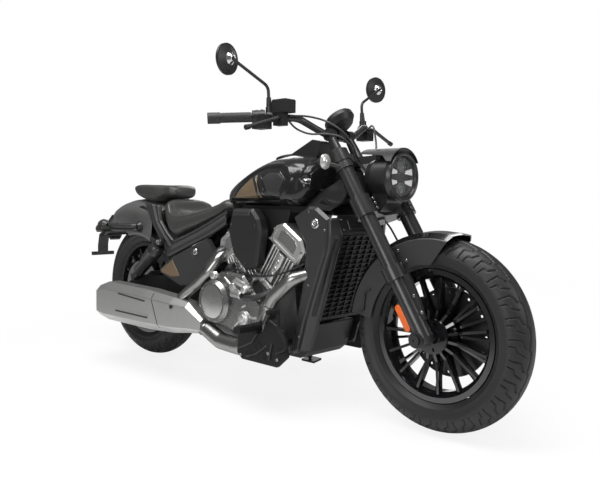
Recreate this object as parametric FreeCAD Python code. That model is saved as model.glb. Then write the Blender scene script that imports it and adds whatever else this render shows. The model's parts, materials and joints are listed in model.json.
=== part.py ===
import FreeCAD, Part
import math
import os
from FreeCAD import Vector

# Cruiser motorcycle with a four-cylinder V engine, leaning on its side stand.
# Everything is drawn with the machine upright: X forward from the rear axle, Y to the rider's
# left, Z up from the ground line, in millimetres. The last step leans it and sets the origin
# on the floor under the middle of the whole machine.

# Driving sizes of the whole machine
WHEELBASE = 1600.0
LEAN = 9.0
RUNNING_GAP = 0.4
SEAT_GAP = 0.3

# Tyres and rims
FRONT_TYRE_R = 320.0
FRONT_TYRE_WIDTH = 130.0
REAR_TYRE_R = 323.0
REAR_TYRE_WIDTH = 150.0
RIM_SEAT_R = 204.0
RIM_FLANGE_R = 217.0
RIM_FLANGE = 6.0
FRONT_RIM_WIDTH = 88.0
REAR_RIM_WIDTH = 110.0
SPOKES = 15
SPOKE_THICK = 9.0
HUB_WINDOWS = 5
HUB_R = 58.0
AXLE_R = 10.0
AXLE_BORE_R = 6.0

# Steering and fork
RAKE = 32.0
FORK_OFFSET = 55.0
AXLE_SETBACK = 14.0
FORK_HALF = 115.0
UPPER_TUBE_R = 27.0
LOWER_TUBE_R = 28.0
FORK_TOP = 700.0
LOWER_CLAMP = 440.0
LOWER_CLAMP_TALL = 72.0
HEAD_TUBE_LONG = 140.0
TOP_CLAMP = LOWER_CLAMP + LOWER_CLAMP_TALL + HEAD_TUBE_LONG
TOP_CLAMP_TALL = 44.0
COLLAR = 200.0
COLLAR_TALL = 48.0
BOSS_IN = 83.5
BOSS_OUT = 147.0
HEAD_TUBE_R = 33.0
STEM_R = 15.0
STEER_LIMIT = 32.0

# Handlebar, measured from the middle of its clamp
BAR_R = 12.7
RISER_TALL = 110.0
RISER_SET = 14.7
BAR_HALF = 419.0
BAR_BACK = 222.0
BAR_LIFT = 40.0
GRIP_R = 17.0
GRIP_LONG = 108.0
BAR_WEIGHT = 30.0

# Headlight, from the foot of the steering axis: along it, and forward of it
HEADLIGHT_UP = 522.0
HEADLIGHT_OUT = 177.4

# Engine
CRANK_X = 890.0
CRANK_Z = 330.0
BANK_TILT = 33.0
CASE_HALF = 140.0
BARREL_HALF = 112.0
BANK_LOW = 176.0
HEAD_TOP_L = 350.0
HEAD_TALL = 98.0
HEAD_LOW_L = HEAD_TOP_L - HEAD_TALL
BANK_HALF = 74.0
HEAD_HALF = 86.0
FRONT_HEAD_SHIFT = -26.0
COVER_HALF = 146.0

# Radiator
RAD_LEAN = 18.0
CASE_FORE = 196.0
RAD_GAP = 92.0
RAD_X = CRANK_X + CASE_FORE + RAD_GAP
RAD_Z = 332.0
RAD_HALF = 115.0
RAD_TALL = 312.0
RAD_THICK = 40.0
GRILLE_ROW = 18.5
GRILLE_COLUMN = 40.0

# Rear end
SWINGARM_HALF = 118.0
SWINGARM_THICK = 26.0
PIVOT_X = 545.0
PIVOT_Z = 345.0
SHOCK_HALF = 150.0
FENDER_RISE = 117.0
REAR_FENDER_R = REAR_TYRE_R + FENDER_RISE
REAR_FENDER_HALF = 104.0
FENDER_WALL = 3.0
FRONT_FENDER_R = FRONT_TYRE_R + 20.0
FRONT_FENDER_HALF = 77.0

# Frame tubes
TUBE_R = 16.0

ORIGIN = Vector(0, 0, 0)
X_AXIS = Vector(1, 0, 0)
Y_AXIS = Vector(0, 1, 0)

REAR_AXLE = Vector(0, 0, REAR_TYRE_R)
FRONT_AXLE = Vector(WHEELBASE, 0, FRONT_TYRE_R)
FORK_UP = Vector(-math.sin(math.radians(RAKE)), 0, math.cos(math.radians(RAKE)))
FORK_FORE = Vector(math.cos(math.radians(RAKE)), 0, math.sin(math.radians(RAKE)))
FORK_FOOT = FRONT_AXLE + FORK_FORE * AXLE_SETBACK
STEER_FOOT = FORK_FOOT - FORK_FORE * FORK_OFFSET
CRANK = Vector(CRANK_X, 0, CRANK_Z)
BAR_CLAMP = STEER_FOOT + FORK_UP * (TOP_CLAMP + TOP_CLAMP_TALL + RISER_TALL) + FORK_FORE * RISER_SET
HEADLIGHT = STEER_FOOT + FORK_UP * HEADLIGHT_UP + FORK_FORE * HEADLIGHT_OUT
DECK = REAR_TYRE_R + REAR_FENDER_R
TAIL = Vector(-0.83867 * REAR_FENDER_R, 0, REAR_TYRE_R + 0.54464 * REAR_FENDER_R)
HEAD_CREST = (CRANK_Z + HEAD_TOP_L * math.cos(math.radians(BANK_TILT))
              + (HEAD_HALF - 24.0) * math.sin(math.radians(BANK_TILT)))
CORD_R = 3.5


# Shape helpers

def rounded_path(points, bend, closed=False):
    """Straight runs joined by tangent arcs; bend is one radius, cut down where runs are short."""
    count = len(points)
    starts, ends, arcs = [], [], []
    for i, here in enumerate(points):
        if not closed and i in (0, count - 1):
            starts.append(here)
            ends.append(here)
            arcs.append(None)
            continue
        back = points[i - 1] - here
        ahead = points[(i + 1) % count] - here
        turn = math.pi - back.getAngle(ahead)
        room = 0.45 * min(back.Length, ahead.Length)
        reach = min(room, bend * math.tan(turn / 2))
        radius = reach / math.tan(turn / 2)
        to_middle = (back.normalize() + ahead.normalize()).normalize()
        middle = here + to_middle * (radius / math.cos(turn / 2) - radius)
        starts.append(here + back * reach)
        ends.append(here + ahead * reach)
        arcs.append(Part.Arc(starts[-1], middle, ends[-1]).toShape())
    edges = []
    for i in range(count if closed else count - 1):
        if arcs[i] is not None:
            edges.append(arcs[i])
        edges.append(Part.makeLine(ends[i], starts[(i + 1) % count]))
    return Part.Wire(edges)


def pipe(points, bend, radius, bore=0.0):
    """A round tube or rod along a rounded path."""
    path = rounded_path([Vector(*p) for p in points], bend)
    start = path.Edges[0].valueAt(path.Edges[0].FirstParameter)
    along = path.Edges[0].tangentAt(path.Edges[0].FirstParameter)
    solids = []
    for r in [radius, bore] if bore else [radius]:
        ring = Part.Wire(Part.makeCircle(r, start, along))
        solids.append(path.makePipeShell([ring], True, False))
    return solids[0].cut(solids[1]) if bore else solids[0]


def rod(a, b, radius, bore=0.0):
    a, b = Vector(*a), Vector(*b)
    solid = Part.makeCylinder(radius, (b - a).Length, a, b - a)
    if bore:
        solid = solid.cut(Part.makeCylinder(bore, (b - a).Length, a, b - a))
    return solid


def cone(a, b, radius_a, radius_b):
    a, b = Vector(*a), Vector(*b)
    return Part.makeCone(radius_a, radius_b, (b - a).Length, a, b - a)


def block(x0, x1, y0, y1, z0, z1):
    return Part.makeBox(x1 - x0, y1 - y0, z1 - z0, Vector(x0, y0, z0))


def side_plate(outline, y0, y1, corner=8.0):
    """A plate seen from the side: an outline of (x, z) points, from y0 to y1."""
    wire = rounded_path([Vector(x, y0, z) for x, z in outline], corner, closed=True)
    return Part.Face(wire).extrude(Vector(0, y1 - y0, 0))


def bevelled(outline, y0, y1, bevel, corner=14.0):
    """A side plate whose edge at y1 is bevelled."""
    turn = math.copysign(bevel, y1 - y0)
    wire = rounded_path([Vector(x, y1 - turn, z) for x, z in outline], corner, closed=True)
    face = wire.makeOffset2D(-bevel)
    face.translate(Vector(0, turn, 0))
    edge = Part.makeLoft([wire, face], True, True)
    return join(side_plate(outline, y0, y1 - turn, corner), edge)


def cord(name, points, radius=CORD_R):
    """A cord held at both ends: straight runs joined by the widest arcs that fit."""
    turns = []
    for a, b, c in zip(points, points[1:], points[2:]):
        into, out = Vector(*b) - Vector(*a), Vector(*c) - Vector(*b)
        turns.append(0.45 * min(into.Length, out.Length) / math.tan(into.getAngle(out) / 2))
    print(name, "tightest bend", round(min(turns), 1), "cord radius", radius)
    return pipe(points, 1e6, radius)


def top_plate(outline, z0, z1, corner=8.0):
    """A plate seen from above: an outline of (x, y) points, from z0 to z1."""
    wire = rounded_path([Vector(x, y, z0) for x, y in outline], corner, closed=True)
    return Part.Face(wire).extrude(Vector(0, 0, z1 - z0))


def oval(x, half, low, high, power=2.6, waist=0.5, floor=1.0):
    """A smooth closed section across the machine at x. waist is the height of the widest place
    as a share of the section, and floor is how wide the lower half stays."""
    widest = low + (high - low) * waist
    points = []
    steps = 16
    for k in range(steps):
        angle = 2 * math.pi * k / steps
        c, s = math.cos(angle), math.sin(angle)
        y = half * math.copysign(abs(c) ** (2 / power), c)
        reach = high - widest if s > 0 else widest - low
        if s < 0:
            y = y * (1 - (1 - floor) * abs(s))
        z = widest + reach * math.copysign(abs(s) ** (2 / power), s)
        points.append(Vector(x, y, z))
    curve = Part.BSplineCurve()
    curve.interpolate(Points=points, PeriodicFlag=True)
    return Part.Wire(curve.toShape())


def skin(sections):
    return Part.makeLoft(sections, True, False)


def spun(outline, centre, start=0.0, sweep=360.0):
    """An outline of (y, radius) points turned about a wheel's axle. start is measured from
    straight ahead, upward."""
    points = [Vector(radius, y, 0) for y, radius in outline]
    face = Part.Face(Part.makePolygon(points + points[:1]))
    face.rotate(ORIGIN, Y_AXIS, -start)
    solid = face.revolve(ORIGIN, Y_AXIS * -1, sweep)
    solid.translate(centre)
    return solid


def turned(shape, degrees, at):
    """Drawn upright about the origin, then tipped forward about Y and set at a point."""
    moved = shape.copy()
    moved.rotate(ORIGIN, Y_AXIS, degrees)
    moved.translate(at)
    return moved


def mirrored(shape):
    return shape.mirror(ORIGIN, Y_AXIS)


def join(*shapes):
    solid = shapes[0].multiFuse(list(shapes[1:]))
    return solid.removeSplitter()


def both(shape):
    """A piece and its mirror image, as solids that don't touch."""
    return Part.makeCompound([shape, mirrored(shape)])


def on_fork(shape):
    """From fork coordinates: X forward of the fork line, Z up it from the axle's level."""
    return turned(shape, -RAKE, FORK_FOOT)


def on_steering(shape):
    return turned(shape, -RAKE, STEER_FOOT)


def on_bank(shape, side):
    """From cylinder coordinates: Z out along the bank from the crankshaft. side 1 is the
    front bank and -1 the rear."""
    return turned(shape, side * BANK_TILT, CRANK)


def on_radiator(shape):
    """From radiator coordinates: X forward of the core's face, Z up it from its foot."""
    return turned(shape, RAD_LEAN, Vector(RAD_X, 0, RAD_Z))


# Wheels

def tyre(radius, width, rim_width, centre):
    """A hollow tyre, faceted across, with one facet square to the floor at the parked lean."""
    crown_r = width / 2 + 1.0
    crown_centre = radius - crown_r
    inside = rim_width / 2 - RIM_FLANGE - SEAT_GAP
    right = []
    for angle in (2 * LEAN, 40.0, 66.0):
        a = math.radians(angle)
        right.append((crown_r * math.sin(a), crown_centre + crown_r * math.cos(a)))
    right.append((width / 2, crown_centre - 8.0))
    right.append((rim_width / 2 + 3.0, RIM_FLANGE_R + 6.0))
    right.append((inside, RIM_FLANGE_R + SEAT_GAP + 1.0))
    right.append((inside, RIM_SEAT_R + SEAT_GAP))
    cavity = [(inside - 9.0, RIM_SEAT_R + SEAT_GAP), (width / 2 - 12.0, crown_centre - 8.0)]
    cavity.append((width / 2 - 30.0, radius - 20.0))
    half = right + cavity
    outline = [(0.0, radius)] + half + [(-y, r) for y, r in reversed(half)]
    return spun(outline, centre)


def rim(rim_width, centre, hub_half):
    """A cast wheel: barrel, hub and two staggered rings of thin blade spokes, cast in one piece."""
    edge = rim_width / 2
    well = 0.45 * edge
    outer = [(edge, RIM_FLANGE_R), (edge - RIM_FLANGE, RIM_FLANGE_R)]
    outer += [(edge - RIM_FLANGE, RIM_SEAT_R), (well + 6.0, RIM_SEAT_R - 2.0), (well, RIM_SEAT_R - 12.0)]
    inner = [(edge, RIM_SEAT_R - 4.0), (well + 10.0, RIM_SEAT_R - 12.0), (well, RIM_SEAT_R - 20.0)]
    outline = outer + [(-y, r) for y, r in reversed(outer)] + [(-y, r) for y, r in inner]
    outline += [(y, r) for y, r in reversed(inner)]
    barrel = spun(outline, ORIGIN)
    hub = rod((0, -hub_half, 0), (0, hub_half, 0), 30.0)
    flange = rod((0, hub_half - 16.0, 0), (0, hub_half - 6.0, 0), HUB_R)
    for i in range(HUB_WINDOWS):
        window = block(HUB_R - 21.0, HUB_R - 9.0, hub_half - 11.0, hub_half - 5.0, -8.0, 8.0)
        window.rotate(ORIGIN, Y_AXIS, 360.0 * i / HUB_WINDOWS)
        flange = flange.cut(window)
    spider = rod((0, -0.4 * edge, 0), (0, 0.4 * edge, 0), HUB_R - 6.0)
    blade = top_plate([(HUB_R - 12.0, 0.06 * edge), (HUB_R - 12.0, hub_half - 12.0), (HUB_R + 26.0, 0.80 * edge),
                       (RIM_SEAT_R - 13.0, 0.90 * edge), (RIM_SEAT_R - 13.0, 0.40 * edge)],
                      -SPOKE_THICK / 2, SPOKE_THICK / 2, 2.0)
    spokes = []
    for side, lag in ((1, 0.0), (-1, 0.5)):
        layer = blade if side == 1 else mirrored(blade)
        for i in range(SPOKES):
            spoke = layer.copy()
            spoke.rotate(ORIGIN, Y_AXIS, 360.0 * (i + lag) / SPOKES)
            spokes.append(spoke)
    wheel = join(barrel, hub, spider, flange, mirrored(flange), *spokes)
    wheel = wheel.cut(rod((0, -hub_half, 0), (0, hub_half, 0), AXLE_R + RUNNING_GAP))
    wheel.translate(centre)
    return wheel


def disc(centre, y_low, y_high, radius, hole):
    """A brake disc with a ring of slots."""
    plate = rod((0, y_low, 0), (0, y_high, 0), radius, hole)
    slots = []
    for i in range(12):
        slot = rod((radius - 16.0, y_low, 0), (radius - 16.0, y_high, 0), 5.0)
        slot.rotate(ORIGIN, Y_AXIS, 30.0 * i)
        slots.append(slot)
    plate = plate.cut(Part.makeCompound(slots))
    plate.translate(centre)
    return plate


FRONT_HUB_HALF = 62.0
REAR_HUB_HALF = 76.0
FRONT_DISC_Y = FRONT_HUB_HALF - 6.0
REAR_DISC_Y = REAR_HUB_HALF - 6.0
DISC_THICK = 5.0
FRONT_DISC_R = 150.0
REAR_DISC_R = 130.0
PULLEY_R = 95.0
BELT_LOW = 81.0
BELT_WIDE = 18.0
BELT_THICK = 5.0


def front_wheel_parts():
    parts = {}
    parts["front_tyre"] = tyre(FRONT_TYRE_R, FRONT_TYRE_WIDTH, FRONT_RIM_WIDTH, FRONT_AXLE)
    parts["front_rim"] = rim(FRONT_RIM_WIDTH, FRONT_AXLE, FRONT_HUB_HALF)
    parts["front_disc"] = disc(FRONT_AXLE, FRONT_DISC_Y + SEAT_GAP, FRONT_DISC_Y + SEAT_GAP + DISC_THICK,
                               FRONT_DISC_R, 31.0)
    return parts


def rear_wheel_parts():
    parts = {}
    parts["rear_tyre"] = tyre(REAR_TYRE_R, REAR_TYRE_WIDTH, REAR_RIM_WIDTH, REAR_AXLE)
    parts["rear_rim"] = rim(REAR_RIM_WIDTH, REAR_AXLE, REAR_HUB_HALF)
    near = -REAR_DISC_Y - SEAT_GAP
    parts["rear_disc"] = disc(REAR_AXLE, near - DISC_THICK, near, REAR_DISC_R, 31.0)
    pulley = rod((0, REAR_HUB_HALF + SEAT_GAP, 0), (0, BELT_LOW + BELT_WIDE, 0), PULLEY_R, AXLE_R + RUNNING_GAP)
    pulley.translate(REAR_AXLE)
    parts["rear_pulley"] = pulley
    return parts


# Steering: everything that turns with the handlebar

def steering_clamps():
    """Two clamps that hold the fork tubes, with the stem between them."""
    shapes = []
    for low, tall, boss in ((LOWER_CLAMP, LOWER_CLAMP_TALL, 36.0), (TOP_CLAMP, TOP_CLAMP_TALL, 35.0)):
        centre = rod((0, 0, low), (0, 0, low + tall), 34.0)
        bridge = top_plate([(-34, -30), (FORK_OFFSET - 20, -FORK_HALF - 12), (FORK_OFFSET + 26, -FORK_HALF - 12),
                            (FORK_OFFSET - 4, 0), (FORK_OFFSET + 26, FORK_HALF + 12),
                            (FORK_OFFSET - 20, FORK_HALF + 12), (-34, 30)], low + 6, low + tall - 6, 8.0)
        bosses = [rod((FORK_OFFSET, s * FORK_HALF, low), (FORK_OFFSET, s * FORK_HALF, low + tall), boss)
                  for s in (1, -1)]
        clamp = join(centre, bridge, *bosses)
        holes = [rod((FORK_OFFSET, s * FORK_HALF, low), (FORK_OFFSET, s * FORK_HALF, low + tall),
                     UPPER_TUBE_R + SEAT_GAP) for s in (1, -1)]
        shapes.append(clamp.cut(Part.makeCompound(holes)))
    stem = rod((0, 0, LOWER_CLAMP), (0, 0, TOP_CLAMP + TOP_CLAMP_TALL + 8), STEM_R)
    return on_steering(join(stem, *shapes))


def fork_uppers():
    tube = rod((0, FORK_HALF, COLLAR + COLLAR_TALL), (0, FORK_HALF, FORK_TOP), UPPER_TUBE_R)
    cap = cone((0, FORK_HALF, FORK_TOP), (0, FORK_HALF, FORK_TOP + 8), UPPER_TUBE_R - 2, UPPER_TUBE_R - 8)
    return both(on_fork(join(tube, cap)))


def fork_lowers():
    """Lower legs with the fender ring at the top, a web down the front and the axle boss."""
    leg = rod((0, FORK_HALF, -4), (0, FORK_HALF, COLLAR), LOWER_TUBE_R)
    ring = rod((0, FORK_HALF, COLLAR), (0, FORK_HALF, COLLAR + COLLAR_TALL - SEAT_GAP), 36.0)
    foot = cone((0, FORK_HALF, -24), (0, FORK_HALF, -4), 20.0, LOWER_TUBE_R)
    web = side_plate([(14, COLLAR + 6), (50, COLLAR + 2), (50, COLLAR - 30), (46, 108), (36, 48), (14, 34)],
                     FORK_HALF - 6, FORK_HALF + 6, 6.0)
    boss = rod((-AXLE_SETBACK, BOSS_IN, 0), (-AXLE_SETBACK, BOSS_OUT, 0), 26.0)
    solid = join(leg, ring, foot, web, boss)
    solid = solid.cut(rod((-AXLE_SETBACK, 80, 0), (-AXLE_SETBACK, 150, 0), AXLE_R + SEAT_GAP))
    solid = solid.cut(rod((0, FORK_HALF, COLLAR + 8), (0, FORK_HALF, COLLAR + COLLAR_TALL), UPPER_TUBE_R - 3))
    return both(on_fork(solid))


def front_axle():
    shaft = rod((0, -BOSS_OUT, 0), (0, BOSS_OUT, 0), AXLE_R)
    spacers = [rod((0, s * (FRONT_HUB_HALF + SEAT_GAP), 0), (0, s * (BOSS_IN - SEAT_GAP), 0), 18.0) for s in (1, -1)]
    nuts = [rod((0, s * (BOSS_OUT - 1), 0), (0, s * (BOSS_OUT + SEAT_GAP), 0), AXLE_R) for s in (1, -1)]
    nuts += [rod((0, s * (BOSS_OUT + SEAT_GAP), 0), (0, s * (BOSS_OUT + 8), 0), 17.0) for s in (1, -1)]
    solid = join(shaft, *spacers, *nuts).cut(rod((0, -170, 0), (0, 170, 0), AXLE_BORE_R))
    solid.translate(FRONT_AXLE)
    return solid


def from_bar(x, y, z):
    """A point given from the middle of the handlebar's clamp."""
    return (BAR_CLAMP.x + x, y, BAR_CLAMP.z + z)


BAR_PATH = [from_bar(-BAR_BACK, BAR_HALF, BAR_LIFT), from_bar(-96, 262, BAR_LIFT + 11), from_bar(-31, 185, BAR_LIFT + 8),
            from_bar(0, 78, 0)]


def bar_point(back):
    """A point on the bar, this far in from its left end."""
    end, bend = Vector(*BAR_PATH[0]), Vector(*BAR_PATH[1])
    return end + (bend - end).normalize() * back


def handlebar():
    path = BAR_PATH + [(x, -y, z) for x, y, z in reversed(BAR_PATH)]
    bar = pipe(path, 70.0, BAR_R)
    foot = BAR_CLAMP - FORK_UP * (RISER_TALL + 14)
    shapes = [bar]
    for s in (1, -1):
        shapes.append(cone((foot.x, s * 50, foot.z), from_bar(0, s * 50, 0), 21.0, 15.0))
        shapes.append(rod(from_bar(0, s * 36, 0), from_bar(0, s * 64, 0), 23.0))
    return join(*shapes).cut(steering_clamps())


def grips():
    """A ribbed grip and the heavier cap on each end of the bar."""
    tube = rod(bar_point(BAR_WEIGHT), bar_point(BAR_WEIGHT + GRIP_LONG), GRIP_R, BAR_R + SEAT_GAP)
    end = rod(bar_point(-14), bar_point(BAR_WEIGHT - SEAT_GAP), GRIP_R + 2.5)
    end = end.cut(rod(bar_point(0), bar_point(60), BAR_R + SEAT_GAP))
    return Part.makeCompound([tube, mirrored(tube), end, mirrored(end)])


def bar_controls():
    """Switch housings, levers on their perches, and the brake reservoir on the right."""
    start = BAR_WEIGHT + GRIP_LONG + 3
    housing = rod(bar_point(start), bar_point(start + 44), 24.0)
    middle = Vector(*bar_point(start + 24))
    switches = block(middle.x - 16, middle.x + 40, middle.y - 22, middle.y + 20, middle.z - 42, middle.z + 6)
    perch = rod(bar_point(start + 50), bar_point(start + 72), 19.0)
    arm = pipe([from_bar(-78, 250, BAR_LIFT + 12), from_bar(-44, 262, BAR_LIFT + 6), from_bar(-50, 300, BAR_LIFT - 6),
                from_bar(-60, 400, BAR_LIFT - 38)], 30.0, 7.0)
    tip = rod(from_bar(-59, 392, BAR_LIFT - 36), from_bar(-61, 408, BAR_LIFT - 40), 9.0)
    left = join(housing, switches, perch, arm, tip)
    left = left.cut(rod(bar_point(0), bar_point(300), BAR_R + SEAT_GAP)).cut(handlebar())
    right = mirrored(left)
    x, y, z = from_bar(-82, -268, BAR_LIFT + 23)
    reservoir = block(x, x + 66, y, y + 52, z, z + 42)
    neck = block(x + 4, x + 46, y + 4, y + 36, z - 44, z + 2)
    right = join(right, reservoir, neck).cut(handlebar())
    return Part.makeCompound([left, right])


def mirrors():
    """Round mirrors turned a little outward, each on a bent stem from its perch."""
    facing = Vector(0.988, -0.154, 0)
    centre = Vector(*from_bar(-150, 413, 233))
    stem = pipe([from_bar(-100, 262, 76), from_bar(-106, 262, 156), tuple(centre + facing * 22)], 30.0, 5.5)
    boot = cone(from_bar(-98, 262, 66), from_bar(-103, 262, 118), 12.0, 8.0)
    head = rod(centre - facing * 5, centre + facing * 4, MIRROR_R)
    dish = cone(centre + facing * 4, centre + facing * 16, MIRROR_R - 4, 20.0)
    knuckle = cone(centre + facing * 15, centre + facing * 26, 17.0, 11.0)
    clamp = rod(from_bar(-96, 262, BAR_LIFT + 11), from_bar(-98, 262, 84), 14.0)
    solid = join(stem, boot, head, dish, knuckle, clamp)
    clear = handlebar().fuse(bar_controls())
    return Part.makeCompound([max(m.cut(clear).Solids, key=lambda s: s.Volume) for m in (solid, mirrored(solid))])


GAUGE_FACE = Vector(*from_bar(-4, 0, 60))
GAUGE_NORMAL = Vector(-0.64, 0, 0.768)
GAUGE_R = 57.0


def gauge():
    """A round dial in a domed cup, facing the rider."""
    base = GAUGE_FACE - GAUGE_NORMAL * 46
    dial = rod(GAUGE_FACE, GAUGE_FACE - GAUGE_NORMAL * 14, GAUGE_R)
    cup = cone(GAUGE_FACE - GAUGE_NORMAL * 14, GAUGE_FACE - GAUGE_NORMAL * 32, GAUGE_R - 1, GAUGE_R - 14)
    back = cone(GAUGE_FACE - GAUGE_NORMAL * 32, base, GAUGE_R - 14, 20.0)
    clip = rod(from_bar(0, -22, 0), from_bar(0, 22, 0), 21.0)
    solid = join(dial, cup, back, clip)
    solid = solid.cut(rod(from_bar(0, -30, 0), from_bar(0, 30, 0), BAR_R + SEAT_GAP)).cut(handlebar())
    return max(solid.Solids, key=lambda s: s.Volume)


BEZEL_R = 81.0
BUCKET_R = 71.0
VISOR_R = 94.0
MIRROR_R = 53.0


def headlight():
    """The bucket and its bezel, with the block that bolts it to the lower clamp."""
    outline = [(-139, 0), (-139, 38), (-122, 58), (-90, BUCKET_R), (-24, BUCKET_R + 3), (-20, BEZEL_R), (0, BEZEL_R),
               (0, BEZEL_R - 9), (-14, BEZEL_R - 11), (-14, 0)]
    points = [Vector(x, 0, r) for x, r in outline]
    bucket = Part.Face(Part.makePolygon(points + points[:1])).revolve(ORIGIN, X_AXIS, 360)
    bucket.translate(HEADLIGHT)
    x, z = HEADLIGHT.x, HEADLIGHT.z
    mount = side_plate([(x - 128, z - 126), (x - 92, z - 88), (x - 98, z - 30), (x - 30, z - 50), (x - 34, z - 86),
                        (x - 62, z - 120)], -46, 46, 6.0)
    mount = mount.cut(rod((x - 150, 0, z), (x - 14, 0, z), BUCKET_R - 1))
    return join(bucket, mount.cut(steering_clamps()))


def headlight_lens():
    """The glass, and the four reflector wedges behind it are part of the same sealed unit."""
    x, z = HEADLIGHT.x, HEADLIGHT.z
    return cone((x - 14 + SEAT_GAP, 0, z), (x - 2, 0, z), BEZEL_R - 12, BEZEL_R - 10)


def visor():
    """A thin rolled cowl over the headlight, level along its top."""
    x, z = HEADLIGHT.x, HEADLIGHT.z + 6
    roll = rod((x - 146, 0, z), (x + 4, 0, z), VISOR_R, VISOR_R - 4)
    side = side_plate([(x - 150, z + 74), (x - 150, z + 110), (x + 8, z + 110), (x + 8, z + 44), (x - 14, z + 46),
                       (x - 40, z + 66)], -110, 110, 4.0)
    stays = [block(x - 88, x - 70, min(s * 24, s * 40), max(s * 24, s * 40), z + 50, z + 86) for s in (1, -1)]
    cowl = join(roll.common(side), *stays)
    return cowl.cut(rod((x - 200, 0, HEADLIGHT.z), (x - 20, 0, HEADLIGHT.z), BUCKET_R + 0.9 + SEAT_GAP))


def front_fender():
    """A rolled fender with straight sides, swept back at the front, held at the fork rings."""
    r = FRONT_FENDER_R
    w = FRONT_FENDER_HALF
    t = FENDER_WALL
    skirt = FRONT_TYRE_R - 88.0
    outline = [(-w, skirt), (-w, r - 26), (-w + 22, r - 5), (0, r), (w - 22, r - 5), (w, r - 26), (w, skirt),
               (w - t, skirt), (w - t, r - 28), (w - 24, r - 8), (0, r - t), (-w + 24, r - 8), (-w + t, r - 28),
               (-w + t, skirt)]
    shell = spun(outline, FRONT_AXLE, 74.0, 98.0)
    x, z = FRONT_AXLE.x, FRONT_AXLE.z
    sweep = side_plate([(x + 84, z + r + 8), (x + 66, z + r - 22), (x - 2, z + skirt - 6), (x + 140, z + skirt - 30),
                        (x + 200, z + r)], -w - 5, w + 5, 6.0)
    shell = shell.cut(sweep)
    pads = []
    for s in (1, -1):
        pads.append(rod((0, s * (w - 1), COLLAR + 26), (0, s * 92, COLLAR + 26), 20.0))
    clear = [rod((0, s * FORK_HALF, 100), (0, s * FORK_HALF, 400), 36.0 + SEAT_GAP) for s in (1, -1)]
    held = on_fork(Part.makeCompound(pads).cut(Part.makeCompound(clear)))
    return join(shell, *held.Solids)


def front_caliper():
    """A two-piece brake caliper behind the left leg."""
    low = FRONT_DISC_Y + SEAT_GAP
    body = side_plate([(-112, 78), (-96, 150), (-44, 150), (-36, 84), (-60, 62)], low - 11, low + 34, 10.0)
    lug = block(-58, -14, low + 26, 112, 84, 140)
    solid = join(body, lug)
    slot = rod((-AXLE_SETBACK, low - 2.5, 0), (-AXLE_SETBACK, low + DISC_THICK + 2.5, 0), FRONT_DISC_R + 4)
    leg = rod((0, FORK_HALF, 20), (0, FORK_HALF, 190), LOWER_TUBE_R + SEAT_GAP)
    solid = solid.cut(slot).cut(leg)
    return on_fork(max(solid.Solids, key=lambda s: s.Volume))


INDICATOR = Vector(1246, 185, 884)
INDICATOR_R = 18.0


def front_indicators():
    """A round lamp at each side on a stalk from a ring below the upper clamp."""
    ring = on_fork(rod((0, FORK_HALF, TOP_CLAMP - 27), (0, FORK_HALF, TOP_CLAMP - SEAT_GAP), UPPER_TUBE_R + 5,
                       UPPER_TUBE_R + SEAT_GAP))
    hold = FORK_FOOT + FORK_UP * (TOP_CLAMP - 14) + Y_AXIS * (FORK_HALF + UPPER_TUBE_R + 2)
    stalk = rod(hold, INDICATOR - X_AXIS * 14, 6.5)
    face = rod(INDICATOR, INDICATOR - X_AXIS * 12, INDICATOR_R)
    cup = cone(INDICATOR - X_AXIS * 12, INDICATOR - X_AXIS * 30, INDICATOR_R, 9.0)
    tube = on_fork(rod((0, FORK_HALF, 500), (0, FORK_HALF, FORK_TOP), UPPER_TUBE_R + SEAT_GAP))
    return both(join(ring, stalk, face, cup).cut(tube))


def control_cables():
    """Two cables from the right controls, one from the left, and the brake hose below."""
    right = [(1122, -232, 1042), (1146, -172, 1046), (1186, -130, 1034), (1226, -110, 1012), (1258, -88, 982),
             (1276, -68, 938), (1281, -50, 894), (1310, -34, 850)]
    lower = [(1100, -222, 1034), (1114, -196, 1002), (1152, -166, 982), (1204, -138, 984), (1252, -112, 976),
             (1283, -88, 942), (1284, -70, 896), (1316, -50, 856)]
    left = [(1108, 232, 1040), (1150, 196, 1046), (1196, 150, 1030), (1232, 108, 1000), (1264, 76, 962),
            (1281, 54, 912), (1312, 38, 862)]
    hose = [(1336, 30, 690), (1352, 50, 662), (1364, 72, 622), (1382, 90, 576), (1416, 98, 530), (1446, 100, 486)]
    clear = Part.makeCompound([handlebar(), bar_controls(), headlight(), steering_clamps(), front_caliper(), visor()])
    cords = []
    for name, points in (("throttle cable", right), ("brake line", lower), ("clutch cable", left), ("brake hose", hose)):
        cords.append(max(cord(name, points).cut(clear).Solids, key=lambda s: s.Volume))
    return Part.makeCompound(cords)


# Frame, swingarm and stand

RAIL_R = 11.0
RAIL_Y = REAR_FENDER_HALF + RAIL_R + SEAT_GAP
SPAR_Y = 60.0
SPAR_GAP = 64.7
SPAR_Z = HEAD_CREST + SPAR_GAP + TUBE_R
PLATE_IN = 52.0
PLATE_OUT = 74.0
HEAD_LOW = LOWER_CLAMP + LOWER_CLAMP_TALL + 5.0
HEAD_HIGH = TOP_CLAMP - 5.0
STAND_PIVOT = Vector(700, 158, 196)
STAND_FOOT_X = 770.0
STAND_FOOT_Y = 285.0


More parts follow.
